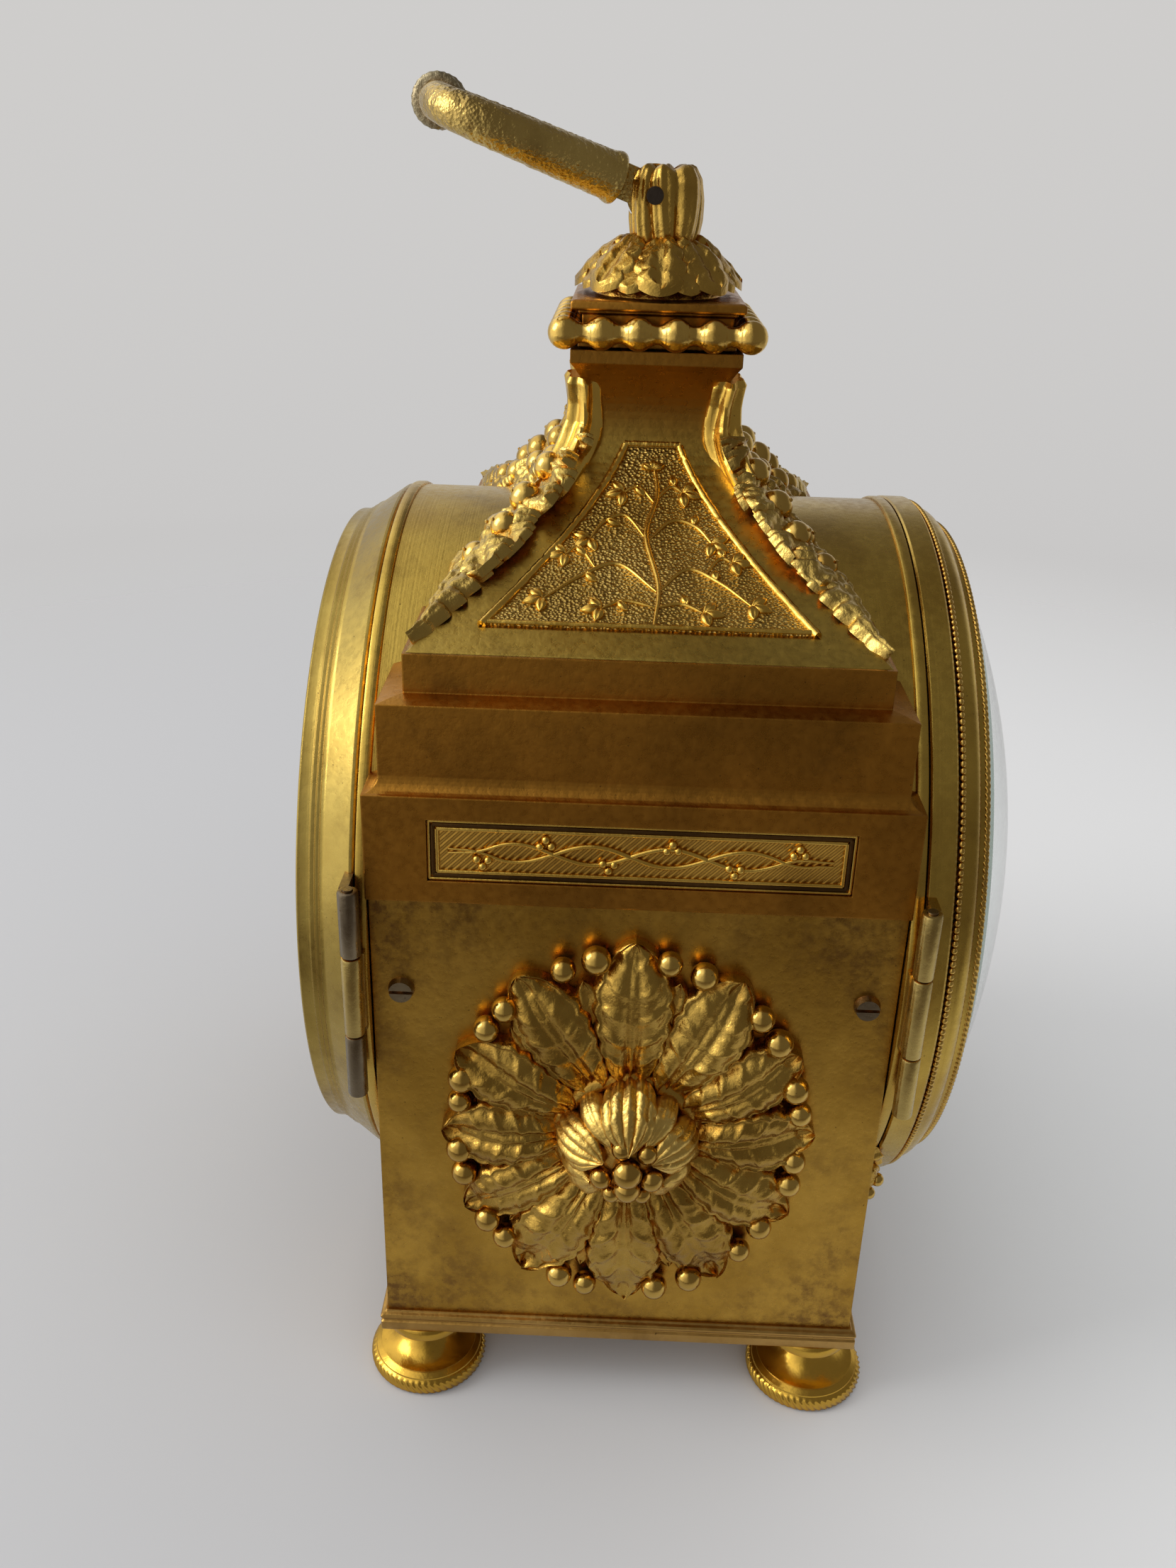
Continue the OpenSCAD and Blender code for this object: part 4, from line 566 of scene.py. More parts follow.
def rosette(side, node):
    """Twelve veined leaves over smaller ones, with pairs of berries between the tips."""
    leaves = Shape()
    berries = Shape()
    draw = np.random.default_rng(11)
    for index in range(ROSETTE_LEAVES):
        angle = math.radians(90 + index * 360 / ROSETTE_LEAVES)
        between = angle + math.pi / ROSETTE_LEAVES
        reach = rosette_reach(angle)
        bend = draw.uniform(-1.1, 1.1) if index else 0
        size = 0.262 * (RING_R + 0.6 * (reach - RING_R)) * draw.uniform(0.96, 1.06)
        leaf(leaves, side_place(side, angle, RING_R - 1.5, draw.uniform(-0.2, 0.2)), reach - RING_R + 1.5,
             size, 3.9, veins=6, bend=bend, base=0.34, tip_rise=0.45, teeth=8, tooth=0.09, peak=0.62,
             tip=0.62, lip=0.2, wave=0.16, turn=draw.uniform(0, TAU), rows=60, columns=45, valley=0.12)
        leaf(leaves, side_place(side, between, RING_R - 1), rosette_reach(between) * 0.87 - RING_R, 3.6, 2.5,
             veins=4, bend=draw.uniform(-0.6, 0.6), base=0.5, tip_rise=0.6, rows=26, columns=17, tip=0.6,
             lip=0.2)
        for offset in (-0.088, 0.088):
            turn = between + offset + draw.uniform(-0.02, 0.02)
            away = rosette_reach(turn) - BERRY_R - draw.uniform(0.0, 0.5)
            centre = (side * (side_x + 1.9), rosette_y + away * math.cos(turn),
                      rosette_z + away * math.sin(turn))
            berries.ball(centre, BERRY_R * draw.uniform(0.86, 1.02), 22)
    profile = [(RING_R - 2.6, 0.2), (RING_R + 1.2, 0.2), (RING_R + 1.6, 1.6), (RING_R + 0.9, 3.0),
               (RING_R - 0.4, 3.4), (RING_R - 1.4, 2.8), (RING_R - 2.4, 1.8)]
    lathe(leaves, [(r, side * x) for r, x in profile], (side * side_x, rosette_y, rosette_z), "x", 120)
    stand_in(node + "_leaves", leaves, cast_gilt, node, 50)
    place_piece(node + "_berries", berries, berry_gilt, node)


rosette(-1, "rosette_left")
rosette(1, "rosette_right")


# The buds in the middle of the rosettes

# Where petals start, as an angle from the tip, and the berries: place to the side, up, and radius
PETAL_START = 1.65
BUD_BERRIES = ((0, 0.3, 2.15), (0.9, 4.1, 1.5), (-2.9, 3.3, 1.45), (4.0, -1.5, 1.6), (-0.1, -3.3, 1.9),
               (-3.8, -1.5, 1.7), (-5.7, 1.2, 1.2), (2.3, -5.3, 1.35), (-2.5, -5.2, 1.35))


def bud(side, node):
    """A closed bud of fluted petals with a cluster of berries low on its front."""
    low, high = box_mm(node)
    deep = max(-low[0], high[0]) - side_x
    round_r = (high[1] - low[1]) / 2
    seat = 2.2
    cap = deep - 2.45 - seat

    def dome_point(theta, y, z, lift):
        """A point at an angle from the bud's tip, in the direction of y and z, lifted outwards."""
        size = np.hypot(y, z) + 1e-9
        reach = (round_r - 1.2 + lift) * np.sin(theta)
        x = side * (side_x + seat + (cap + lift) * np.cos(theta))
        return np.stack([x, rosette_y + reach * y / size, rosette_z + reach * z / size], -1)

    def petal(shape, degrees, length, width, rise, flutes=5, veins=0):
        angle = math.radians(degrees)

        def place(along, across, height):
            theta = PETAL_START - along
            swing = angle + across / np.maximum(np.sin(theta), 0.25)
            return dome_point(theta, np.cos(swing), np.sin(swing), height)
        leaf(shape, place, length, width, rise, veins=veins, base=0.72, tip_rise=0.62, floor=-0.6, rows=44,
             columns=41, peak=0.5, flutes=flutes, lip=0.1, wave=0.16, turn=3 * angle,
             bend=0.1 * math.cos(angle), teeth=6, tooth=0.05, droop=0.75)

    petals = Shape()
    polar = np.linspace(1.9, 0.02, 24)[:, None]
    turn = circle(64)[None, :]
    petals.tube(dome_point(polar + 0 * turn, np.cos(turn) + 0 * polar, np.sin(turn) + 0 * polar, -0.5))
    petal(petals, 270, 0.72, 0.42, 1.2, 3)
    for sign in (-1, 1):
        petal(petals, 90 + sign * 126, 0.98, 0.44, 1.4, 3)
        petal(petals, 90 + sign * 78, 1.24, 0.44, 1.5)
        petal(petals, 90 + sign * 38, 1.14, 0.26, 1.1, 1)
    petal(petals, 90, 1.30, 0.46, 2.0, veins=4)
    stand_in(node + "_petals", petals, bud_gilt, node, 50)
    cluster = Shape()
    for y, z, size in BUD_BERRIES:
        theta = math.asin(min(math.hypot(y, z) / round_r, 1))
        spot = dome_point(np.array(theta), np.array(y * 1.0), np.array(z + 1e-6), 0.1)
        cluster.ball(spot, size, 22)
    place_piece(node + "_berries", cluster, berry_gilt, node)


bud(-1, "bud_left")
bud(1, "bud_right")


# The garlands on the roof's front and back corners

# The roof's height up to its neck, the neck's half width, the curve of its sides, the panels' depth,
# how far the neck flares, and the length of a corner edge
NECK_RISE = 22.7
NECK_HALF = 9.2
SWEEP_POWER = 1.8
SINK = 0.6
FLARE = 8.0
MITRE_LENGTH = 49.0
roof_x, roof_y = roof_high[0], roof_high[1]
roof_z = frieze_high[2]
neck_z = roof_z + NECK_RISE


def sweep(base, share):
    """Half width of the swept roof at a share of the way down from its neck."""
    return NECK_HALF + (base - NECK_HALF) * np.clip(share, 0, None) ** SWEEP_POWER


def mitre(share):
    """A point on the roof's corner edge, on its front right arm, above the roof for a share under zero."""
    flare = FLARE * np.clip(-share, 0, 1) ** 2
    height = neck_z - NECK_RISE * share
    return np.stack([sweep(roof_x, share) + flare, sweep(roof_y, share) + flare, height], -1)


def garland_frame(share, inward):
    """A point beside the corner edge on the front slope, and the slope's outward direction."""
    step = 0.01
    down = unit(mitre(share + step) - mitre(share - step))
    run = sweep(roof_y, share + step) - sweep(roof_y, share - step)
    out = unit(np.stack([0 * run, 2 * step * NECK_RISE + 0 * run, run], -1))
    return mitre(share) + np.cross(out, down) * np.asarray(inward)[..., None], out


def garland_place(turn, share, inward, angle, lift=0.0, lean=0.0):
    """Puts a leaf on a garland arm, at an angle from the way down the edge."""
    def place(along, across, height):
        ahead, aside = swung(along, across, angle)
        point, out = garland_frame(share + ahead / MITRE_LENGTH, inward + aside)
        return (point + out * (height + lift + lean * along)[..., None]) * turn
    return place


def garland_bed(shape, turn, draw_seed):
    """A lumpy bed of small foliage under a garland's leaves."""
    shares = np.linspace(0.06, 0.82, 90)
    across = np.linspace(0, 1, 30)
    wide = np.interp(shares, [0.06, 0.2, 0.4, 0.6, 0.72, 0.82], [4.5, 8.5, 10.0, 9.4, 7.0, 4.4])
    dome = np.sin(np.linspace(0.1, math.pi - 0.1, 30)) ** 0.6
    rings = []
    for share, reach in zip(shares, wide):
        inward = 1.0 + (reach - 1.0) * across
        point, out = garland_frame(np.full(30, share), inward)
        lump = [noise.noise(Vector((share * 38, a * 0.75, draw_seed))) for a in inward]
        fine = [noise.noise(Vector((share * 95, a * 2.0, draw_seed + 7))) for a in inward]
        height = 1.5 + 1.3 * np.array(lump) + 0.7 * np.array(fine)
        top = point + out * (height * dome)[:, None]
        under = point[[-1, 0]] - 0.6 * out[[-1, 0]]
        rings.append(np.concatenate([top, under]) * turn)
    shape.tube(rings)


def garland_stem(shape, turn, spot):
    """The fluted stem that a garland arm hangs from, over the neck."""
    shares = np.linspace(-0.27, 0.36, 60)
    centre = np.array([spot(share, 1.0 + 2.6 * max(share, 0), 0.8) for share in shares])
    outward = np.array([garland_frame(np.array(share), np.array(1.0))[1] * turn for share in shares])
    width = np.interp(shares, [-0.27, -0.24, -0.1, 0.1, 0.36], [2.4, 3.1, 3.1, 3.7, 3.2])
    across = np.cross(unit(np.gradient(centre, axis=0)), outward)
    swing = circle(44)[None, :, None]
    flute = 1 + 0.15 * np.cos(6 * swing + 5 * shares[:, None, None])
    ring = np.cos(swing) * across[:, None, :] + 0.8 * np.sin(swing) * outward[:, None, :]
    shape.tube(centre[:, None, :] + width[:, None, None] * flute * ring)


# Each row of leaves: distance from the edge, angle, first and last share, number
GARLAND_ROWS = ((3.0, 0.75, 0.11, 0.64, 8), (4.6, 0.05, 0.14, 0.62, 6), (6.8, -0.6, 0.18, 0.60, 6))
# Each fruit: share, distance from the edge, height, radius
GARLAND_FRUIT = ((0.21, 5.0, 2.6, 2.2), (0.31, 1.8, 2.8, 2.3), (0.38, 6.8, 2.1, 2.2), (0.46, 2.6, 2.7, 2.4),
                 (0.54, 6.6, 2.0, 2.3), (0.59, 2.0, 2.3, 2.2), (0.67, 5.2, 1.8, 2.1))


def garland(flip_y, node):
    """Two arms of stems, leaves and fruit that hang from the neck to the roof's corners."""
    leaves, fruit, stems = Shape(), Shape(), Shape()
    for flip_x in (-1, 1):
        draw = np.random.default_rng(5 if flip_x * flip_y < 0 else 9)
        turn = np.array([flip_x, flip_y, 1.0])

        def spot(share, inward, height):
            point, out = garland_frame(np.array(share), np.array(inward))
            return (point + out * height) * turn

        garland_stem(stems, turn, spot)
        garland_bed(leaves, turn, 3.0 * flip_x + flip_y)
        for inward, angle, first, last, number in GARLAND_ROWS:
            for share in np.linspace(first, last, number):
                length = draw.uniform(7.6, 9.6) * (1.05 - 0.3 * share)
                place = garland_place(turn, share + draw.uniform(-0.015, 0.015),
                                      inward + draw.uniform(-0.4, 0.4), -angle + draw.uniform(-0.3, 0.3),
                                      draw.uniform(0.4, 1.2), draw.uniform(-0.12, 0.0))
                leaf(leaves, place, length, draw.uniform(3.0, 4.0), draw.uniform(1.7, 2.4), teeth=5,
                     tooth=0.3, bend=draw.uniform(-0.8, 0.8), base=0.4, tip_rise=0.45, floor=-0.5, rows=34,
                     columns=25, peak=0.55, tip=0.7, lip=0.12, valley=0.35, wave=0.3,
                     turn=draw.uniform(0, TAU), droop=0.85)
        leaf(leaves, garland_place(turn, 0.64, 3.0, -0.10, 0.2), 16.4, 3.7, 2.3, veins=8, teeth=7,
             tooth=0.42, bend=-0.7, base=0.7, tip_rise=0.5, floor=-0.5, rows=72, columns=31, peak=0.3,
             tip=0.6, lip=0.12, valley=0.3, wave=0.22, droop=0.9)
        for share, inward, height, size in GARLAND_FRUIT:
            fruit.ball(spot(share, inward, height), size, 26)
            fruit.ball(spot(share + 0.016, inward, height + size * 0.92), size * 0.14, 8)
    stand_in(node + "_leaves", leaves, dusty_gilt, node, 50)
    place_piece(node + "_fruit", fruit, berry_gilt, node)
    place_piece(node + "_stems", stems, engraved_gilt, node)


garland(-1, "garland_front")
garland(1, "garland_back")


# The bead frame, plates, leaf collar and knuckle

bead_low, bead_high = box_mm("bead_frame")
BEAD_R = 2.3
BEAD_PITCH = 5.23
WAIST_R = 1.3
WAIST_REACH = 1.1
BLOCK_HALF = 11.2
BEADS_PER_SIDE = 5


def slab(shape, half_x, half_y, profile, corner=0.5, steps=5):
    """A moulded rectangular block: the profile holds pairs of inset and height."""
    rings = []
    for inset, z in profile:
        wide, deep = half_x - inset, half_y - inset
        ring = []
        for quarter, (sign_x, sign_y) in enumerate(((1, 1), (-1, 1), (-1, -1), (1, -1))):
            for step in range(steps):
                angle = (quarter + step / (steps - 1)) * math.pi / 2
                ring.append((sign_x * (wide - corner) + corner * math.cos(angle),
                             sign_y * (deep - corner) + corner * math.sin(angle), z))
        rings.append(ring)
    shape.tube(rings)


def bead_frame():
    """Rows of turned beads with narrow waists, round a dark block."""
    shape = Shape()
    reach = BEADS_PER_SIDE * BEAD_PITCH / 2
    z = bead_low[2] + BEAD_R + 0.1
    spots = np.linspace(-reach, reach, 241)
    near = (spots + reach + BEAD_PITCH / 2) % BEAD_PITCH - BEAD_PITCH / 2
    ball = np.sqrt(np.clip(BEAD_R ** 2 - near ** 2, 0, None))
    gap = np.abs(np.abs(near) - BEAD_PITCH / 2)
    waist = WAIST_R + 0.5 * (gap / WAIST_REACH) ** 2
    radii = np.where(gap < WAIST_REACH, np.maximum(ball, waist), ball)
    radii[0] = radii[-1] = 0.2
    up = np.array([0, 0, 1])
    turn = circle(28)[None, :, None]
    for quarter in range(4):
        angle = quarter * math.pi / 2
        ahead = np.array([math.cos(angle), math.sin(angle), 0])
        aside = np.array([-math.sin(angle), math.cos(angle), 0])
        ring = np.cos(turn) * aside + np.sin(turn) * up
        centre = aside * reach + z * up + spots[:, None] * ahead
        shape.tube(centre[:, None, :] + radii[:, None, None] * ring)
        shape.ball(aside * reach + ahead * reach + z * up, BEAD_R, 28)
    stand_in("bead_rows", shape, bead_gilt, "bead_frame", 60)
    block = Shape()
    low, high = bead_low[2], bead_high[2]
    slab(block, BLOCK_HALF, BLOCK_HALF, [(0.4, low), (0, low + 0.3), (0, low + 2.0), (0.5, low + 2.5),
                                         (0.5, high - 0.6), (0, high - 0.3), (0, high)], 0.3)
    place_piece("bead_block", block, brown_gilt, "bead_frame", 30)


def plates():
    """The base plate with its moulded edge, and the plate under the leaf collar."""
    low, high = box_mm("base_plate")
    z0, z1 = low[2], high[2]
    base = Shape()
    slab(base, high[0], high[1], [(0.5, z0), (0.15, z0 + 0.15), (0.05, z0 + 0.4), (0.05, z0 + 1.7),
                                  (0.3, z0 + 1.95), (0.32, z0 + 2.2), (0.12, z0 + 2.4), (0, z0 + 2.65),
                                  (0.02, z0 + 2.9), (0.2, z0 + 3.2), (0.65, z0 + 3.35), (0.8, z1)], 0.35)
    stand_in("base_moulding", base, base_gilt, "base_plate", 25)
    low, high = box_mm("top_plate")
    z0, z1 = low[2], high[2]
    top = Shape()
    slab(top, high[0], high[1], [(0.6, z0), (0.12, z0 + 0.12), (0, z0 + 0.35), (0, z1 - 0.5),
                                 (0.1, z1 - 0.25), (0.4, z1 - 0.08), (1.1, z1)], 0.3)
    stand_in("top_moulding", top, brown_gilt, "top_plate", 25)


bead_frame()
plates()

collar_low, collar_high = box_mm("leaf_collar")
_, pin_y, pin_z = middle_and_half("handle_pin")[0]
COLLAR_LEAVES = 8
COLLAR_START_R = 4.7
COLLAR_REACH = 7.45
COLLAR_RUN = 10.2


def collar_place(angle, lift=0.0):
    """Puts a leaf on the collar: it starts at the knuckle and falls outwards to the top plate."""
    low, high = collar_low[2], collar_high[2]

    def place(along, across, height):
        share = np.clip(along / COLLAR_RUN, 0, 1.1)
        reach = COLLAR_START_R + COLLAR_REACH * share ** 0.92
        z = high - 0.4 - (high - low - 1.5) * share ** 1.4 + (height + lift) * (1 - 0.35 * share)
        swing = angle + across / np.maximum(reach, 3.5)
        return np.stack([reach * np.cos(swing), reach * np.sin(swing), z], -1)
    return place


def leaf_collar():
    """Eight broad leaves with hollow middles and scalloped edges, over smaller ones."""
    shape = Shape()
    for index in range(COLLAR_LEAVES):
        angle = math.radians(180 + index * 360 / COLLAR_LEAVES)
        leaf(shape, collar_place(angle, 0.1), 10.3, 3.9, 1.7, veins=3, teeth=4, tooth=0.3, base=0.5,
             tip_rise=0.8, floor=-0.7, rows=60, columns=39, peak=0.7, tip=0.5, valley=0.9, lip=0.15,
             wave=0.3, turn=index * 1.7, droop=0.6)
        leaf(shape, collar_place(angle + math.pi / COLLAR_LEAVES, -0.7), 9.6, 3.2, 1.0, veins=3, teeth=2,
             tooth=0.25, base=0.6, tip_rise=0.8, floor=-0.5, rows=34, columns=21, peak=0.7, tip=0.6)
    low, high = collar_low[2], collar_high[2]
    lathe(shape, [(0.5, low), (9.2, low), (9.0, low + 0.8), (7.6, low + 3.0), (6.2, low + 4.6),
                  (5.2, high - 0.6), (4.9, high), (0.5, high)], (0, 0, 0), "z", 64)
    stand_in("leaf_collar_cast", shape, cast_gilt, "leaf_collar", 50)


leaf_collar()


def prism(outline, half_x):
    """A closed solid with an outline in depth and height, and a half width."""
    outline = np.asarray(outline, float)
    shape = Shape()
    flat = np.concatenate([np.full((len(outline), 1), -half_x), outline], 1)
    other = flat.copy()
    other[:, 0] = half_x
    shape.tube(np.stack([flat, other]))
    return shape


def carve(obj, cutter_shape):
    """Cuts a gathered shape out of an object."""
    cutter = mesh_object("cutter", cutter_shape, 30)
    step = obj.modifiers.new("cut", "BOOLEAN")
    step.operation = "DIFFERENCE"
    step.solver = "EXACT"
    step.object = cutter
    graph = bpy.context.evaluated_depsgraph_get()
    cut_mesh = bpy.data.meshes.new_from_object(obj.evaluated_get(graph))
    obj.modifiers.clear()
    obj.data = cut_mesh
    bpy.data.objects.remove(cutter)
    finish_mesh(obj, 40)


HANDLE_LEAN = math.radians(20)
HANDLE_SWING = math.radians(84)
TONGUE_R = 4.2
TONGUE_HALF = 2.45
SLOT_HALF = 2.1
KNUCKLE_FOLDS = 8
KNUCKLE_POWER = 2.9
KNUCKLE_BACK_R = 5.25


def knuckle():
    """A fluted bud with a wavy top, slotted for the handle's tongue."""
    middle, half = middle_and_half("handle_knuckle")
    low, brim = collar_high[2] - 0.9, middle[2] + half[2] - 1.5
    turn = circle(240)
    levels = np.linspace(0, 1, 40)
    bulge = np.interp(levels, [0, 0.12, 0.4, 0.65, 0.88, 1], [0.88, 0.92, 0.99, 1.0, 0.95, 0.80])
    plan = np.abs(np.cos(turn)) ** KNUCKLE_POWER + np.abs(np.sin(turn)) ** KNUCKLE_POWER
    plan = plan ** (-1 / KNUCKLE_POWER)
    rings = []
    for level, size in zip(levels, bulge):
        phase = KNUCKLE_FOLDS * turn + 1.1 * np.sin(2 * turn + 0.4 + level)
        phase = phase + 0.7 * np.sin(3 * turn + 1 - 1.4 * level)
        wave = (0.5 + 0.5 * np.cos(phase)) ** 0.6
        crease = (0.5 + 0.5 * np.cos(3 * phase)) ** 0.8
        depth = 0.105 * math.sin(math.pi * min(level * 0.8 + 0.2, 1)) + 0.03
        reach = size * plan * (1 - depth * (1 - wave) - 0.035 * (1 - crease))
        reach = reach * (1 + 0.06 * np.clip(-np.sin(turn), 0, 1) * math.sin(math.pi * level))
        z = low + (brim - low) * level + 0.9 * wave * level ** 3
        rings.append(np.stack([half[0] * reach * np.cos(turn), middle[1] + half[1] * reach * np.sin(turn),
                               z + 0 * turn], -1))
    edge_ring = rings[-1]
    for size, rise in ((0.86, 0.42), (0.68, 0.55), (0.4, 0.3), (0.12, 0.1)):
        ring = edge_ring.copy()
        ring[:, 0] *= size
        ring[:, 1] = middle[1] + (ring[:, 1] - middle[1]) * size
        ring[:, 2] = brim + 0.9 * wave * size + rise
        rings.append(ring)
    rings = np.array(rings)
    away = np.stack([rings[..., 1] - pin_y, rings[..., 2] - pin_z], -1)
    reach = np.linalg.norm(away, axis=-1)
    corner = (away[..., 0] > 0) & (away[..., 1] > 0) & (reach > KNUCKLE_BACK_R)
    scale = np.where(corner, KNUCKLE_BACK_R / np.maximum(reach, 1), 1)
    rings[..., 1] = pin_y + away[..., 0] * scale
    rings[..., 2] = pin_z + away[..., 1] * scale
    shape = Shape()
    shape.tube(rings)
    obj = stand_in("knuckle_cast", shape, cast_gilt, "handle_knuckle")

    def from_pin(distance, angle, offset=0.0):
        y, z = swung(distance, offset, angle)
        return pin_y + y, pin_z + z

    top_angle = HANDLE_LEAN + HANDLE_SWING
    outline = [from_pin(20, HANDLE_LEAN, -TONGUE_HALF), from_pin(28, (HANDLE_LEAN + top_angle) / 2),
               from_pin(20, top_angle, TONGUE_HALF)]
    spread = math.asin(TONGUE_HALF / TONGUE_R)
    for angle in np.linspace(top_angle + spread, HANDLE_LEAN + TAU - spread, 20):
        outline.append(from_pin(TONGUE_R, angle))
    carve(obj, prism(outline, SLOT_HALF))


knuckle()


# The handle

# Half of the bail's curve, as places to the side and out from the pin, and its radii
BAIL_CONTROLS = ((5.4, 5.6), (9.0, 15.2), (24.5, 32.4), (0.0, 32.4))
ARM_R = 3.3
BAR_R = 2.45
BAIL_COLLAR_R = 3.7


def handle_point(side, reach, up):
    """A point of the resting handle: to the side, out from the pin, and above its plane."""
    y, z = swung(reach, up, HANDLE_LEAN)
    return np.stack([side + 0 * y, pin_y + y, pin_z + z], -1)


def bail():
    """The tapering bail, dressed with a fine hammered skin."""
    share = np.linspace(0, 1, 170)[:, None]
    a, b, c, d = (np.array(point) for point in BAIL_CONTROLS)
    half = ((1 - share) ** 3 * a + 3 * (1 - share) ** 2 * share * b + 3 * (1 - share) * share ** 2 * c
            + share ** 3 * d)
    path = np.concatenate([half, half[-2::-1] * [-1, 1]])
    position = np.linspace(0, 2, len(path))
    radius = BAR_R + (ARM_R - BAR_R) * np.abs(1 - position) ** 1.3
    along = np.gradient(path, axis=0)
    along[0], along[-1] = (0.35, 1), (0.35, -1)
    along = unit(along)
    normal = np.stack([-along[:, 1], along[:, 0]], 1)
    travel = np.concatenate([[0], np.cumsum(np.linalg.norm(np.diff(path, axis=0), axis=1))])
    from_end = np.minimum(travel, travel[-1] - travel)
    lip = np.exp(-(from_end / 1.4) ** 4)
    rounding = 0.88 + 0.12 * np.sqrt(1 - (1 - np.clip(from_end / 0.8, 0, 1)) ** 2)
    smooth = radius * (0.98 + 0.09 * lip) * rounding
    rings = []
    for index in range(len(path)):
        ring = []
        for angle in circle(56):
            spot = Vector((math.cos(angle) * radius[index], math.sin(angle) * radius[index], travel[index]))
            rough = noise.noise(Vector((spot.x * 0.9, spot.y * 0.9, spot.z * 1.5)))
            rough += 0.5 * noise.noise(Vector((spot.x * 2.2 + 9, spot.y * 2.2, spot.z * 3.0)))
            size = smooth[index] + 0.10 * rough * (1 - lip[index])
            ring.append((*(path[index] + normal[index] * size * math.cos(angle)), size * math.sin(angle)))
        rings.append(ring)
    rings = np.array(rings)
    faces = []
    for end, inner in ((0, 3), (-1, -4)):
        middle = rings[end].mean(0)
        faces.append(middle + (rings[end] - middle) * 0.8 + (rings[inner] - rings[end]).mean(0))
    rings = np.concatenate([faces[:1], rings, faces[1:]])
    shape = Shape()
    shape.tube(handle_point(rings[..., 0], rings[..., 1], rings[..., 2]))
    stand_in("bail_cast", shape, hammered_gilt, "handle_bail", 40, "handle")


def bail_collar():
    """The worn collar on the far bar, a band between two lips."""
    half = middle_and_half("handle_collar")[1][0]
    centre = handle_point(0, BAIL_CONTROLS[-1][1], 0)
    big = BAIL_COLLAR_R
    lip = [(BAR_R - 0.3, -half), (big - 0.5, -half), (big - 0.12, -half + 0.25), (big, -half + 0.7),
           (big - 0.2, -half + 1.15), (big - 0.55, -half + 1.4), (big - 0.42, -0.6)]
    profile = lip + [(r, -x) for r, x in reversed(lip)]
    turned("bail_collar_cast", profile, centre, "x", 96, pale_gilt, "handle_collar", 40, "handle",
           lambda turn, r, along: -0.09 * np.abs(np.sin(turn * 11 + along * 2)) * (r > BAR_R))


bail()
bail_collar()


# The engraved panels of the roof and the frieze

def roof_surface(side):
    """Puts points on a side slope's sunk panel: a runs along it, and b is the height."""
    def place(a, b, lift):
        share = (neck_z - b) / NECK_RISE
        x = sweep(roof_x, share) - SINK
        steep = np.clip(share, 0.001, None) ** (SWEEP_POWER - 1)
        slope = (roof_x - NECK_HALF) * SWEEP_POWER * steep / NECK_RISE
        size = np.sqrt(1 + slope ** 2)
        return np.stack([side * (x + lift / size), side * a, b + lift * slope / size], -1)
    return place


def frieze_surface(side):
    """Puts points on the frieze's sunk panel."""
    def place(a, b, lift):
        return np.stack([side * (frieze_x - SINK + lift), side * a + 0 * b, b + 0 * a], -1)
    return place


def line(shape, surface, controls, size, steps=40, taper=True, lift=0.0):
    """A raised line through points of a surface, thinner towards its ends."""
    flat = curve_points(controls, steps)
    ends = np.sin(np.linspace(0.12, math.pi - 0.12, steps)) ** 0.5 if taper else np.ones(steps)
    path = surface(flat[:, 0], flat[:, 1], np.full(steps, lift))
    above = surface(flat[:, 0], flat[:, 1], np.full(steps, lift + 1.0))
    ridge(shape, path, above - path, size * ends)


def small_leaf(shape, surface, spot, angle, length, half):
    """A small chased leaf on a surface."""
    step = 0.1
    ends = [surface(np.array(spot[0]), np.array(spot[1] + move), np.array(0.0)) for move in (0, step)]
    upright = step / np.linalg.norm(ends[1] - ends[0])

    def place(along, across, height):
        a, b = swung(along, across, angle)
        return surface(spot[0] + a, spot[1] + upright * b, height + 0.3)
    leaf(shape, place, length, half, 0.5, veins=2, base=0.2, tip_rise=0.4, floor=-0.2, rows=14, columns=11)


def sheet(shape, surface, outline_a, levels, lift):
    """A thin closed sheet on a surface, whose half width changes with the height."""
    across = np.linspace(-1, 1, 41)[None, :]
    a = across * outline_a[:, None]
    b = levels[:, None] + 0 * a
    top = surface(a, b, np.full(a.shape, lift))
    under = surface(a[:, [-1, 0]], b[:, [-1, 0]], np.full((len(levels), 2), -0.3))
    shape.tube(np.concatenate([top, under], 1))


ROOF_PANEL_LOW = 1.8
ROOF_PANEL_H = 17.2
ROOF_PANEL_MARGIN = 5.7
# The plant's lines, as places along the slope and above the panel's low edge
TRUNK = ((0.6, 0.2), (1.2, 3.2), (-0.6, 7.5), (0.9, 11.5), (0.2, 15.2))
STEMS = (((1.0, 2.6), (5.0, 4.6), (9.5, 3.6), (13.6, 1.9)),
         ((7.5, 4.2), (9.6, 5.6), (11.4, 5.3)),
         ((0.9, 2.8), (-4.4, 4.9), (-9.4, 3.8), (-14.2, 2.0)),
         ((-7.4, 4.5), (-9.8, 6.2), (-11.6, 5.6)),
         ((-0.4, 6.9), (3.0, 8.9), (6.4, 8.4), (8.6, 6.9)),
         ((-0.5, 7.1), (-3.6, 9.3), (-6.6, 8.6), (-8.4, 7.0)),
         ((0.7, 11.0), (2.8, 12.4), (4.6, 11.8)),
         ((0.6, 10.6), (-1.8, 12.3), (-3.9, 11.7)),
         ((1.0, 1.6), (4.2, 1.9), (7.2, 1.3)),
         ((0.8, 1.6), (-3.4, 2.0), (-6.4, 1.4)))


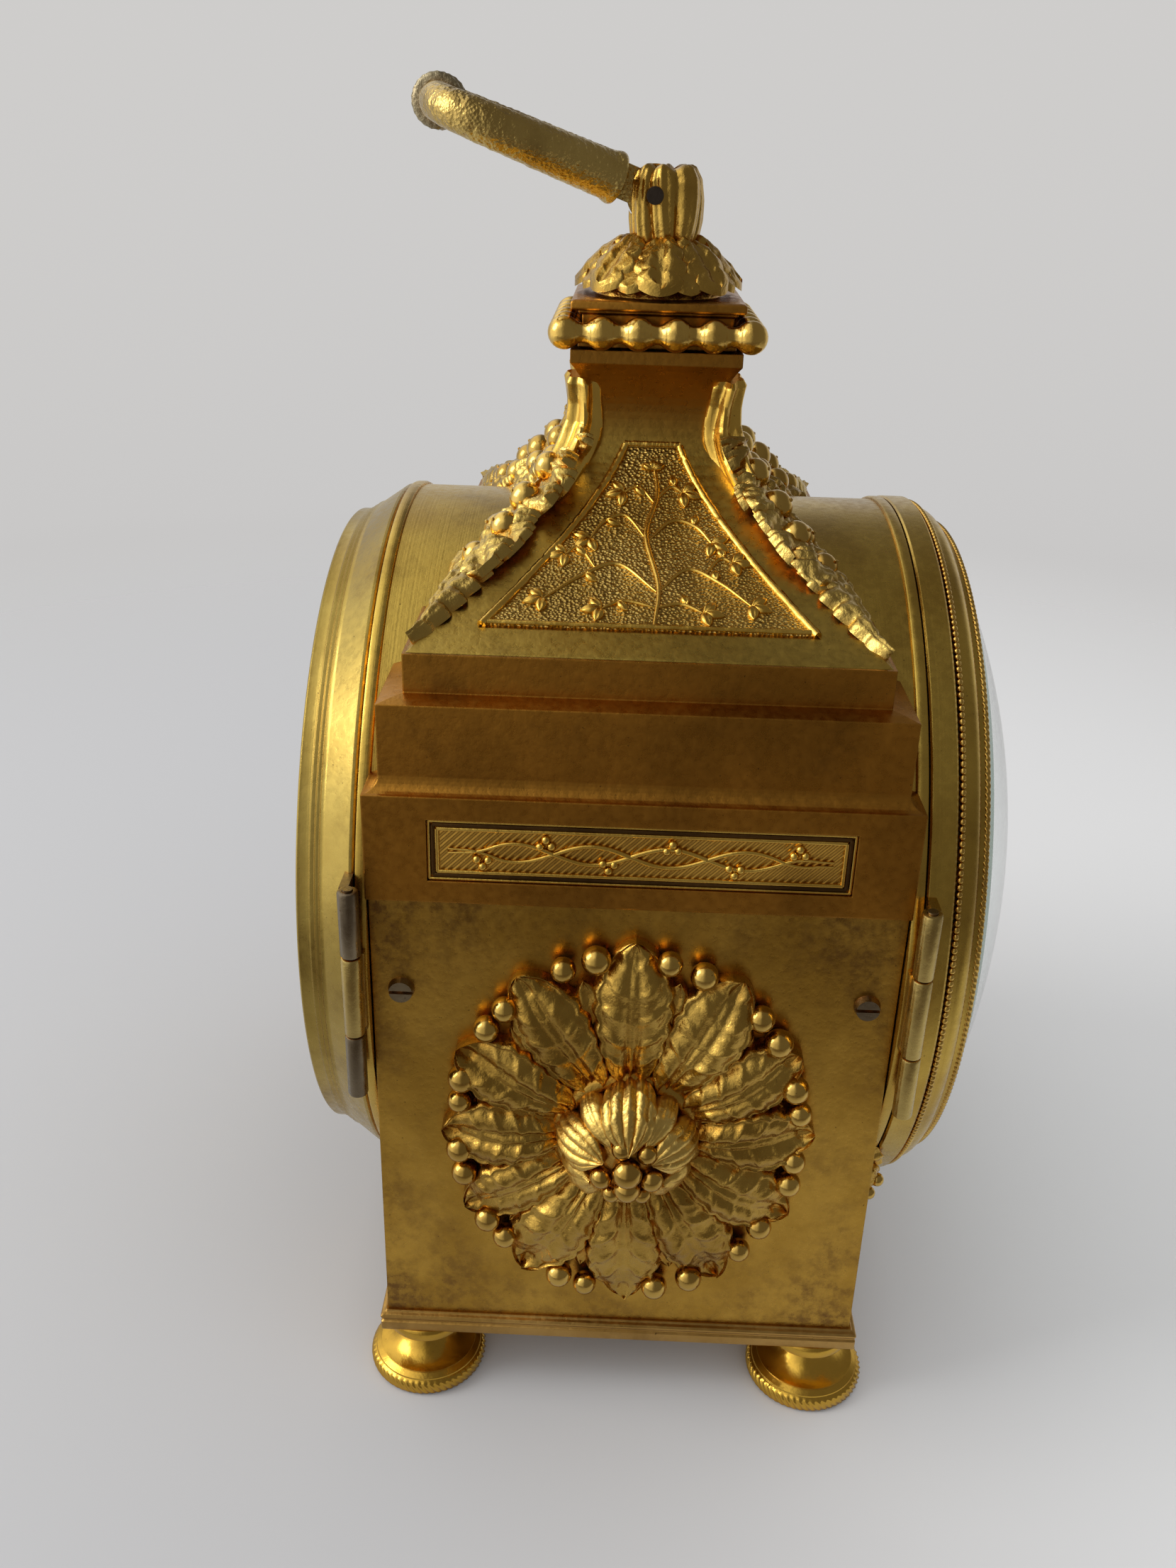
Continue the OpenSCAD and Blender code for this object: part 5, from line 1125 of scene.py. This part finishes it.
def roof_panel(side, name):
    """A chased plant on a stippled ground, in a bright frame."""
    surface = roof_surface(side)
    low = roof_z + ROOF_PANEL_LOW
    levels = np.linspace(low, low + ROOF_PANEL_H, 40)
    half = sweep(roof_y, (neck_z - levels) / NECK_RISE) - ROOF_PANEL_MARGIN
    ground, bars, plant = Shape(), Shape(), Shape()
    sheet(ground, surface, half - 0.1, levels, 0.28)
    place_piece(name + "_ground", ground, ground_gilt, "roof", 60)
    for sign in (-1, 1):
        flat = np.stack([sign * (half - 0.35), levels], 1)
        line(bars, surface, flat[::3], 0.62, 80, False, 0.3)
    for index, size in ((0, 0.4), (-1, 0.5)):
        edge, height = half[index] - 0.3, levels[index] + 0.2
        line(bars, surface, [(-edge, height), (edge, height)], size, 60, False, 0.3)
    draw = np.random.default_rng(3)
    points = np.concatenate(bars.points)
    bars.points = [points + draw.normal(0, 0.035, points.shape)]
    place_piece(name + "_frame", bars, engraved_gilt, "roof", 60)
    line(plant, surface, np.array(TRUNK) + (0, low), 0.42, 60, True, 0.3)
    for stem in STEMS:
        stem = np.array(stem) + (0, low)
        line(plant, surface, stem, 0.32, 30, True, 0.3)
        ahead = math.atan2(stem[-1][1] - stem[-2][1], stem[-1][0] - stem[-2][0])
        for swing in (-1.15, 0.0, 1.15):
            small_leaf(plant, surface, stem[-1], ahead + swing, 2.8, 0.8)
        small_leaf(plant, surface, curve_points(stem, 9)[5], ahead + 2.0, 2.3, 0.65)
    for swing in (-1.0, 0.0, 1.0):
        small_leaf(plant, surface, (0.2, low + 14.2), math.pi / 2 + swing, 2.0, 0.6)
    place_piece(name + "_plant", plant, engraved_gilt, "roof", 60)


FRIEZE_PANEL_W = 56
FRIEZE_PANEL_H = 9
FRIEZE_FACE_H = 15.4
FRIEZE_BERRIES = 6
frieze_middle = frieze_low[2] + FRIEZE_FACE_H / 2


def border(shape, surface, inset, size, lift):
    """A rectangle of lines inside the frieze's sunk panel."""
    a, b = FRIEZE_PANEL_W / 2 - inset, FRIEZE_PANEL_H / 2 - inset
    low, high = frieze_middle - b, frieze_middle + b
    corners = [(-a, low), (a, low), (a, high), (-a, high)]
    for pair in zip(corners, corners[1:] + corners[:1]):
        line(shape, surface, pair, size, 30, False, lift)


def frieze_panel(side, node):
    """Two waving stems with berries on a hatched ground, in a double frame."""
    surface = frieze_surface(side)
    wide, tall = FRIEZE_PANEL_W / 2, FRIEZE_PANEL_H / 2
    ground, lines, groove_shadows, fruit = Shape(), Shape(), Shape(), Shape()
    levels = np.linspace(frieze_middle - tall + 1.5, frieze_middle + tall - 1.5, 8)
    sheet(ground, surface, np.full(8, wide - 1.6), levels, 0.12)
    place_piece(node + "_ground", ground, hatched_gilt, node, 60)
    border(lines, surface, 0.25, 0.22, 0.15)
    border(lines, surface, 1.35, 0.3, 0.15)
    reach = wide - 2.8
    spots = np.linspace(-reach, reach, 61)
    fade = np.clip((reach - np.abs(spots)) / 7, 0.25, 1)
    for sign in (-1, 1):
        wave = sign * 1.35 * np.sin(spots / reach * TAU * 1.25 + 0.4) * fade
        line(lines, surface, np.stack([spots, frieze_middle + wave], 1), 0.36, 200, True, 0.25)
    place_piece(node + "_lines", lines, engraved_gilt, node, 60)
    # Dark lines along the sunk panel's edges: painted shadow
    border(groove_shadows, surface, -0.2, 0.24, 0.02)
    border(groove_shadows, surface, 0.8, 0.34, 0.02)
    place_piece(node + "_grooves", groove_shadows, painted_groove_shadow, node, 60)
    for index, a in enumerate(np.linspace(-reach * 0.82, reach * 0.82, FRIEZE_BERRIES)):
        up = 1 if index % 2 else -1
        for shift, rise in ((-0.75, 1.1), (0.75, 1.2), (0.0, 2.1)):
            fruit.ball(surface(a + shift, frieze_middle + up * rise, 0.3), 0.6, 12)
    place_piece(node + "_berries", fruit, engraved_gilt, node, 60)


for side, name in ((-1, "entablature_left"), (1, "entablature_right")):
    frieze_panel(side, name)
roof_panel(-1, "roof_left")
roof_panel(1, "roof_right")


# The drum, its flanges and its doors

BEZEL_R = box_mm("front_bezel")[1][0]
BACK_DOOR_R = box_mm("back_door")[1][0]
FLANGE_R = box_mm("front_flange")[1][0]
# Distances from the case's middle to the inner face of a flange and of a door
FLANGE_PLANE = 36.2
DOOR_PLANE = 38.05
SEAT_R = BEZEL_R - 1
LIP_R = 52.9
BAND_W = 3.7
BEZEL_H = 8.8
PEARL_R = 0.52
PEARLS = 360
PEARL_CIRCLE_R = 55.5
ROPE_TURNS = 360
axis_point = np.array([0, 0, drum_z])


def flange(side, node):
    """A flange ring with softly rounded edges."""
    near, r = FLANGE_PLANE, FLANGE_R
    profile = [(r - 5, near), (r - 0.35, near), (r - 0.1, near + 0.1), (r, near + 0.35), (r, near + 1.35),
               (r - 0.1, near + 1.6), (r - 0.35, near + 1.7), (r - 5, near + 1.7)]
    turned(node + "_ring", [(r, side * y) for r, y in profile], axis_point, "y", 256, turned_gilt, node, 30)


flange(-1, "front_flange")
flange(1, "back_flange")


def front_bezel():
    """The front door's frame: band, pearl seat, round moulding, roped lip and sloping sight ring."""
    top = BAND_W + 1.3
    profile = [(52.2, 0), (BEZEL_R - 0.25, 0), (BEZEL_R, 0.25), (BEZEL_R, BAND_W - 0.3),
               (BEZEL_R - 0.3, BAND_W), (SEAT_R - 0.3, BAND_W + 0.1), (SEAT_R - 0.3, top)]
    round_r = SEAT_R - LIP_R - 0.2
    profile += arc((LIP_R - 0.2, top + 0.2), round_r, 0, math.radians(84), 9)
    profile += [(LIP_R - 0.1, BEZEL_H - 0.9), (LIP_R - 0.25, BEZEL_H), (52.0, BEZEL_H),
                (51.7, BEZEL_H - 0.4), (51.7, 7.2), (49.6, 7.2), (49.6, 6.4), (45.1, 1.2), (45.1, 0.5),
                (50.0, 5.6), (51.2, 5.4)]
    turned("front_bezel_frame", [(r, -DOOR_PLANE - y) for r, y in profile], axis_point, "y", 288,
           turned_gilt, "front_bezel", 30, "front_door")
    pearls = Shape()
    for angle in circle(PEARLS):
        x, z = PEARL_CIRCLE_R * math.cos(angle), PEARL_CIRCLE_R * math.sin(angle)
        pearls.ball((x, -DOOR_PLANE - BAND_W - 0.7, drum_z + z), PEARL_R, 10)
    place_piece("front_bezel_pearls", pearls, bead_gilt, "front_bezel", 60, "front_door")
    rope = Shape()
    turn = circle(12)
    strand = [(LIP_R - 0.55 + 0.5 * math.cos(angle), -DOOR_PLANE - BEZEL_H + 0.35 + 0.5 * math.sin(angle))
              for angle in turn]
    lathe(rope, strand, axis_point, "y", ROPE_TURNS * 8,
          lambda swing, r, y: 0.12 * np.cos(ROPE_TURNS * swing + 2 * turn[None, :]))
    place_piece("front_bezel_rope", rope, bead_gilt, "front_bezel", 60, "front_door")


front_bezel()


def back_door():
    """The back door's frame: a wide chamfered band, then fine stepped lines."""
    steps = ((0.25, 0), (0, 0.3), (0, 0.7), (2.7, 4.6), (2.85, 4.8), (2.9, 5.2), (3.15, 5.3), (3.4, 5.45),
             (3.4, 5.95), (3.65, 6.05), (3.9, 6.2), (3.9, 6.8), (4.1, 7.0), (4.15, 7.3))
    profile = [(45.8, 0)] + [(BACK_DOOR_R - inset, y) for inset, y in steps]
    profile += [(51.6, 7.5), (51.6, 8.6), (51.4, 8.8), (50.7, 8.8), (50.3, 8.6), (47.5, 7.8), (47.2, 6.4),
                (45.8, 6.4)]
    turned("back_door_frame", [(r, DOOR_PLANE + y) for r, y in profile], axis_point, "y", 288, matt_gilt,
           "back_door", 30, "rear_door")


back_door()


# The feet

FOOT_TEETH = 56


def foot(node):
    """A turned foot with a slantwise milled rim."""
    centre = (*middle_and_half(node)[0][:2], 0)
    profile = [(0.2, 0), (7.6, 0), (8.5, 0.12)]
    for z in np.linspace(0.3, 2.3, 11):
        profile.append((9.2 - 0.25 * abs(z - 1.3) ** 2.2, z))
    profile += [(8.6, 2.55), (8.45, 2.62), (8.4, 2.85), (7.9, 3.12), (7.5, 3.35)]
    profile += arc((8.1, 8.6), 5, math.radians(265), math.radians(200), 12)
    profile += [(3.6, 8.0), (4.6, 8.5), (6.2, 8.8), (6.6, 9.1), (6.7, 9.6), (6.7, 10.2), (6.5, 10.7),
                (6.1, 11.0), (0.2, 11.0)]

    def milled(turn, r, z):
        rim = np.exp(-((z - 1.3) / 1.05) ** 6) * (r > 8.7)
        return 0.13 * rim * np.cos(FOOT_TEETH * turn + 4.6 * z) - 0.03 * rim

    turned(node + "_turned", profile, centre, "z", FOOT_TEETH * 8, bright_gilt, node, wave=milled)


for name in ("foot_front_left", "foot_front_right", "foot_back_left", "foot_back_right"):
    foot(name)


# The leafy mount under the dial

MOUNT_PLANE = 36.0
SPRAY_LEAVES = 6
SPRAY_START = 20
SPRAY_STEP = 6.6


def mount_place(flip, start, heading):
    """Puts a leaf of the mount on the case's front."""
    def place(along, across, height):
        a, b = swung(along, -across, heading)
        return np.stack([start[0] + flip * a, -(MOUNT_PLANE + height), start[1] + b], -1)
    return place


def mount_spray():
    """Two sprays of toothed leaves with berries, in the corners under the drum."""
    leaves, fruit = Shape(), Shape()
    for flip in (-1, 1):
        for index in range(SPRAY_LEAVES):
            angle = math.radians(SPRAY_START + index * SPRAY_STEP)
            for layer, tilt, inner in ((0, 0.35, 57.6), (1, -0.08, 59.2)):
                begin = (flip * inner * math.sin(angle), drum_z - inner * math.cos(angle))
                leaf(leaves, mount_place(flip, begin, angle + tilt), 6.6 - layer, 1.9, 2.6 - 0.5 * layer,
                     veins=4, teeth=4, tooth=0.2, base=0.35, tip_rise=0.5, rows=26, columns=17)
            berry, turn = 60.6 + 0.4 * math.sin(index * 2), angle + 0.05
            centre = (flip * berry * math.sin(turn), -MOUNT_PLANE - 2.0, drum_z - berry * math.cos(turn))
            fruit.ball(centre, 1.05, 16)
    stand_in("front_mount_leaves", leaves, cast_gilt, "front_mount", 50)
    place_piece("front_mount_berries", fruit, berry_gilt, "front_mount", 60)


mount_spray()


# The glasses

GLASS_R = box_mm("front_glass")[1][0]
BEVEL_W = 3.4
BEVEL_H = 2.3
DOME_WALL = 2.2
SEAT_Y = 7.2


def glass_piece(name, profile, side, body, node, edge_r):
    """A turned glass whose rim, past a radius, has the frosted look."""
    profile = [(r, side * (DOOR_PLANE + y)) for r, y in profile]
    obj = turned(name, profile, axis_point, "y", 256, dome_glass, node, 20, body)
    obj.data.materials.append(glass_rim)
    for face in obj.data.polygons:
        middle = face.center
        if math.hypot(middle.x, middle.z - drum_z * MM) > edge_r * MM:
            face.material_index = 1


def front_dome():
    """The domed glass with its bevelled rim."""
    low = box_mm("front_glass")[0]
    apex = -low[1] - DOOR_PLANE
    dome_r = GLASS_R - BEVEL_W
    rim_top = SEAT_Y + 0.8
    rise = apex - rim_top - BEVEL_H
    ball = (dome_r ** 2 + rise ** 2) / (2 * rise)
    wide = math.asin(dome_r / ball)
    middle = (0, apex - ball)
    profile = arc(middle, ball, math.pi / 2 - 0.002, math.pi / 2 - wide, 40)
    profile += [(GLASS_R - 0.1, rim_top + 0.1), (GLASS_R, rim_top), (GLASS_R, SEAT_Y), (dome_r - 1, SEAT_Y)]
    inner = ball - DOME_WALL
    reach = math.asin((dome_r - 1) / inner)
    profile += arc(middle, inner, math.pi / 2 - reach, math.pi / 2 - 0.002, 40)
    glass_piece("front_glass_dome", profile, -1, "front_door", "front_glass", dome_r - 1.5)


def back_pane():
    """The flat glass with its wide bevel."""
    high = box_mm("back_glass")[1]
    seat, top = high[1] - DOOR_PLANE - 2, high[1] - DOOR_PLANE
    r = high[0]
    profile = [(0.05, seat), (r - 0.1, seat), (r, seat + 0.1), (r, seat + 1.1), (r - 0.1, seat + 1.2),
               (r - 3.9, top - 0.02), (r - 4.1, top), (0.05, top)]
    glass_piece("back_glass_pane", profile, 1, "rear_door", "back_glass", r - 0.5)


front_dome()
back_pane()


# The hinges

hinge_low, hinge_high = box_mm("hinge_pins")
middle_low, middle_high = box_mm("case_hinge_leaves")
HINGE_R = 1.4
HINGE_PIN_R = (hinge_high[0] - hinge_low[0]) / 2
HINGE_BORE_R = HINGE_PIN_R + 0.06
hinge_x = (hinge_high[0] + hinge_low[0]) / 2
hinge_y = hinge_high[1] - HINGE_PIN_R


def hinge_knuckle(shape, y, z0, z1):
    """A hollow hinge knuckle with rounded ends and a shallow seam."""
    r = HINGE_R
    profile = [(HINGE_BORE_R, z0), (r - 0.3, z0), (r - 0.08, z0 + 0.1), (r, z0 + 0.35), (r, z1 - 0.35),
               (r - 0.08, z1 - 0.1), (r - 0.3, z1), (HINGE_BORE_R, z1)]
    lathe(shape, profile, (hinge_x, y, 0), "z", 48,
          lambda turn, radius, z: -0.06 * np.exp(-((turn - 2.2) / 0.12) ** 2) * (radius > 1))


def hinge_web(shape, y0, y1, z0, z1, rim_r):
    """The thin leaf between a knuckle and the round edge that it is fixed to."""
    rings = []
    for z in np.linspace(z0, z1, 26):
        ends = 1 - 0.35 * (abs(2 * (z - z0) / (z1 - z0) - 1)) ** 6
        outer = hinge_x + 0.5 + (1 - ends)
        inner = -math.sqrt(rim_r ** 2 - (z - drum_z) ** 2) + 0.5
        rings.append([(outer, y0, z), (outer, y1, z), (outer + 0.3, y1, z), (inner, y1, z), (inner, y0, z)])
    shape.tube(rings)


def hinges():
    """Both doors' knuckles, and the middle ones on the case."""
    upper, lower = middle_high[2] + 0.15, middle_low[2] - 0.15
    low, high = box_mm("front_hinge_leaf")
    still = Shape()
    for side, body, node, look, rim in (
            (-1, "front_door", "front_hinge_leaf", old_brass, BEZEL_R),
            (1, "rear_door", "back_hinge_leaf", worn_steel, BACK_DOOR_R)):
        shape = Shape()
        for z0, z1 in ((low[2], lower), (upper, high[2])):
            hinge_knuckle(shape, side * hinge_y, z0, z1)
            hinge_web(shape, side * (DOOR_PLANE + 0.02), side * (DOOR_PLANE + 1.25), z0 + 0.1, z1 - 0.1,
                      rim)
        stand_in(node + "_cast", shape, look, node, 30, body)
        hinge_knuckle(still, side * hinge_y, middle_low[2], middle_high[2])
        hinge_web(still, side * 36.4, side * 37.8, middle_low[2] + 0.1, middle_high[2] - 0.1, FLANGE_R)
    stand_in("case_hinge_leaves_cast", still, old_brass, "case_hinge_leaves", 30)


hinges()


# The dial's marks and the movement's screws

NUMERALS = ("XII", "I", "II", "III", "IV", "V", "VI", "VII", "VIII", "IX", "X", "XI")
LETTER_WIDTHS = {"I": 2.0, "V": 4.2, "X": 4.4}
NUMERAL_R = 32
NUMERAL_TALL = 7.2
THICK_LINE = 0.9
THIN_LINE = 0.4
MINUTE_TRACK = (41.2, 43.2)
PAINT = 0.06
SCREW_R = 2.1
DRIVER_SLOT = 0.54
PILLAR_GAP = 9
dial_y = box_mm("dial")[0][1] - 0.005


def stroke(shape, first, last, wide):
    """A flat painted stroke on the dial, given by its ends in face coordinates."""
    along = (last - first) / np.linalg.norm(last - first)
    across = np.array([-along[1], along[0]]) * wide / 2
    rings = []
    for spot, size in ((first, 0.8), (first + along * 0.1, 1), (last - along * 0.1, 1), (last, 0.8)):
        left, right = spot - across * size, spot + across * size
        rings.append([(left[0], dial_y, drum_z + left[1]), (right[0], dial_y, drum_z + right[1]),
                      (right[0], dial_y - PAINT, drum_z + right[1]),
                      (left[0], dial_y - PAINT, drum_z + left[1])])
    shape.tube(rings)


def numeral(shape, letters, angle):
    """A roman numeral that stands upright towards the middle of the dial."""
    out = np.array([math.sin(angle), math.cos(angle)])
    aside = np.array([out[1], -out[0]])
    tall = NUMERAL_TALL
    offset = -sum(LETTER_WIDTHS[letter] for letter in letters) / 2
    for letter in letters:
        wide = LETTER_WIDTHS[letter]
        left, right, centre = offset + 0.4, offset + wide - 0.4, offset + wide / 2
        strokes = {"I": [(centre, 0, centre, tall, THICK_LINE)],
                   "V": [(left, tall, centre, 0, THICK_LINE), (right, tall, centre, 0, THIN_LINE)],
                   "X": [(left, tall, right, 0, THICK_LINE), (right, tall, left, 0, THIN_LINE)]}[letter]
        strokes += [(left - 0.2, height, right + 0.2, height, 0.28) for height in (0, tall)]
        for a, b, c, d, thick in strokes:
            stroke(shape, aside * a + out * (NUMERAL_R + b), aside * c + out * (NUMERAL_R + d), thick)
        offset += wide


def dial():
    """Roman hours, a minute track and its two circles."""
    marks = Shape()
    for letters, angle in zip(NUMERALS, circle(12)):
        numeral(marks, letters, angle)
    for minute, angle in enumerate(circle(60)):
        out = np.array([math.sin(angle), math.cos(angle)])
        stroke(marks, out * MINUTE_TRACK[0], out * MINUTE_TRACK[1], 0.22 if minute % 5 else 0.55)
    for radius in MINUTE_TRACK:
        near, far = radius - 0.1, radius + 0.1
        profile = [(near, dial_y), (far, dial_y), (far, dial_y - PAINT), (near, dial_y - PAINT)]
        lathe(marks, profile, axis_point, "y", 180)
    place_piece("dial_marks", marks, black_enamel, "dial", 30)


dial()


def screw(shape, x, y, z, radius, turn):
    """A slotted screw head that faces the back."""
    profile = [(0.02, y - 0.3), (radius, y - 0.3), (radius, y + 0.5), (radius - 0.15, y + 0.7)]
    profile += [(radius * share, y + 0.72) for share in (0.85, 0.7, 0.55, 0.4, 0.25, 0.1, 0.01)]
    lathe(shape, profile, (x, 0, z), "y", 72)
    points = shape.points[-1]
    across = (points[:, 0] - x) * math.sin(turn) + (points[:, 2] - z) * math.cos(turn)
    slot = (np.abs(across) < DRIVER_SLOT / 2) & (points[:, 1] > y + 0.6)
    points[:, 1] = np.where(slot, y + 0.25, points[:, 1])


def back_plate_fittings():
    """Blued screws over the pillars, on the back of the movement."""
    back = box_mm("movement_back_plate")[1][1]
    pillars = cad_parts["pillars"]
    ends = np.array([tuple(pillars.matrix_world @ corner.co) for corner in pillars.data.vertices]) / MM
    ends = ends[ends[:, 1] > ends[:, 1].max() - 0.5]
    heads = Shape()
    spots = []
    for x, z in ends[:, [0, 2]]:
        if all(math.hypot(x - a, z - b) > PILLAR_GAP for a, b in spots):
            near = ends[np.hypot(ends[:, 0] - x, ends[:, 2] - z) < PILLAR_GAP]
            spots.append((near[:, 0].mean(), near[:, 2].mean()))
    for index, (x, z) in enumerate(spots):
        screw(heads, x, max(back, ends[:, 1].max()), z, SCREW_R, 0.7 * index)
    place_piece("back_plate_screws", heads, blued_steel, "movement_back_plate", 30)


back_plate_fittings()

for node_name, look in (("side_panel_left", panel_gilt), ("side_panel_right", panel_gilt),
                        ("front_panel", satin_gilt), ("back_panel", satin_gilt)):
    softened(node_name, look)


# Camera, stage and light

FOCAL_MM = 31.16
CAMERA_SPOT = (-0.21081, 0.00426, 0.18024)
CAMERA_DEGREES = (1.05, 25.22, 1.68)
FLOOR_R = 0.7
LAMP_SPOT = (-0.15, 0.8, 0.6)
LAMP_TARGET = (0, 0, 0.1)
LAMP_SIZE = (0.45, 0.6)
LAMP_WATTS = 4
FLOOR_NEAR = (0.56, 0.56, 0.565)
# Painted light: the paler floor tone on the right, over the lamp's shadow
FLOOR_PAINTED_LIGHT = (0.76, 0.76, 0.755)
UNLIT_FLOOR = (0.10, 0.07, 0.045)
BACKDROP_LOW = (0.52, 0.515, 0.52)
BACKDROP_HIGH = (0.62, 0.61, 0.60)
DIM_ROOM = (0.16, 0.145, 0.13)
WINDOW = (1.2, 1.19, 1.17)
WALL = (0.58, 0.575, 0.57)
SOFT_LIGHT = (0.80, 0.80, 0.81)

camera_data = bpy.data.cameras.new("camera")
camera_data.sensor_fit = "VERTICAL"
camera_data.sensor_height = 36
camera_data.lens = FOCAL_MM
camera_data.clip_start = 0.005
camera = add_object("camera", camera_data)
bpy.context.scene.camera = camera
yaw, pitch, roll = (math.radians(angle) for angle in CAMERA_DEGREES)
forward = Vector((math.cos(yaw) * math.cos(pitch), math.sin(yaw) * math.cos(pitch), -math.sin(pitch)))
level = Vector((math.sin(yaw), -math.cos(yaw), 0))
upward = level.cross(forward)
right = level * math.cos(roll) + upward * math.sin(roll)
above = upward * math.cos(roll) - level * math.sin(roll)
turned = Matrix((right, above, -forward)).transposed().to_4x4()
camera.matrix_world = Matrix.Translation(CAMERA_SPOT) @ turned


def floor_material():
    """A pale floor that fades into the backdrop, with painted light that makes it paler on the right over
    the lamp's shadow, and dark near the camera in reflections.
    """
    material, nodes, shader, where = start("pale_floor")
    parts = nodes.split(where)
    far = nodes.add("VectorMath", {0: where}, operation="LENGTH")["Value"]
    rays = nodes.add("LightPath", {})
    seen = nodes.value("MAXIMUM", rays["Is Camera Ray"], rays["Is Transmission Ray"])
    near_side = nodes.spread(parts["X"], -0.22, -0.02, 0.95, 0)
    near_right = nodes.spread(parts["Y"], -0.30, -0.08, 0.6, 0)
    hidden = nodes.times(nodes.value("MAXIMUM", near_side, near_right), nodes.value("SUBTRACT", 1, seen))
    # Painted light: the floor turns paler towards the right, where the lamp's shadow falls
    pale = nodes.mix(nodes.spread(parts["Y"], -0.12, 0.06, 1, 0), FLOOR_NEAR, FLOOR_PAINTED_LIGHT)
    nodes.fill(shader, {"Base Color": nodes.mix(hidden, pale, UNLIT_FLOOR), "Roughness": 0.9,
                        "Specular IOR Level": 0.1})
    nodes.open_up(shader, nodes.spread(far, 0.2, 0.55))
    return material


bpy.ops.mesh.primitive_circle_add(vertices=96, radius=FLOOR_R, fill_type="NGON")
floor = bpy.context.object
floor.name = "floor"
floor.data.materials.append(floor_material())

world = bpy.data.worlds.new("studio")
bpy.context.scene.world = world
world.use_nodes = True
sky = Nodes(world.node_tree)
view = sky.split(sky.add("TexCoord", {})["Generated"])
backdrop = sky.mix(sky.spread(view["Z"], -0.75, 0.1), BACKDROP_LOW, BACKDROP_HIGH)
window = sky.times(sky.spread(view["Y"], -0.05, 0.4), sky.spread(view["X"], -0.9, -0.4, 0.35, 1))
wall = sky.times(sky.spread(view["X"], 0.1, 0.6), sky.spread(view["Z"], 0.15, 0.55, 1, 0))
room = sky.mix(wall, sky.mix(window, DIM_ROOM, WINDOW), WALL)
rays = sky.add("LightPath", {})
room = sky.mix(rays["Is Diffuse Ray"], room, SOFT_LIGHT)
seen = sky.value("MAXIMUM", rays["Is Camera Ray"], rays["Is Transmission Ray"])
sky.fill(world.node_tree.nodes["Background"], {"Color": sky.mix(seen, room, backdrop), "Strength": 1})


def soft_lamp():
    """A large weak lamp above the clock's back, turned to it."""
    data = bpy.data.lights.new("lamp_left", "AREA")
    data.shape = "RECTANGLE"
    data.size, data.size_y = LAMP_SIZE
    data.energy = LAMP_WATTS
    lamp = add_object("lamp_left", data)
    lamp.rotation_euler = (Vector(LAMP_TARGET) - Vector(LAMP_SPOT)).to_track_quat("-Z", "Y").to_euler()
    lamp.location = LAMP_SPOT


soft_lamp()
bpy.context.scene.view_settings.view_transform = "Standard"


# Looks of the nodes that keep their CAD form

def finish_node(node, material):
    """A CAD node whose shape is right gets its material here."""
    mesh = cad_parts[node].data
    mesh.materials.clear()
    mesh.materials.append(material)


LOOKS = {
    satin_gilt: ("side_panel_left", "side_panel_right", "front_panel", "back_panel", "base_plate"),
    roof_gilt: ("roof",),
    brown_gilt: ("entablature_left", "entablature_right", "top_plate"),
    turned_gilt: ("drum_barrel", "front_flange", "back_flange", "front_bezel", "back_door"),
    bright_gilt: ("foot_front_left", "foot_front_right", "foot_back_left", "foot_back_right", "bead_frame"),
    cast_gilt: ("leaf_collar", "handle_knuckle", "garland_front", "garland_back", "front_mount",
                "rosette_left", "rosette_right", "bud_left", "bud_right"),
    hammered_gilt: ("handle_bail", "handle_hub"),
    pale_gilt: ("handle_collar",),
    old_brass: ("front_hinge_leaf", "back_hinge_leaf", "case_hinge_leaves"),
    worn_steel: ("panel_screws", "hinge_pins"),
    brass: ("going_barrel", "centre_wheel", "third_wheel", "fourth_wheel", "minute_wheel", "hour_wheel",
            "cannon_pinion", "movement_front_plate", "movement_back_plate", "pillars", "platform",
            "balance_wheel", "tie_rod"),
    steel: ("winding_arbor", "mainspring", "click", "escape_wheel", "lever"),
    dark_steel: ("handle_pin",),
    blued_steel: ("minute_hand", "hour_hand"),
    white_enamel: ("dial",),
    dome_glass: ("front_glass", "back_glass"),
}
for look, names in LOOKS.items():
    for node_name in names:
        finish_node(node_name, look)
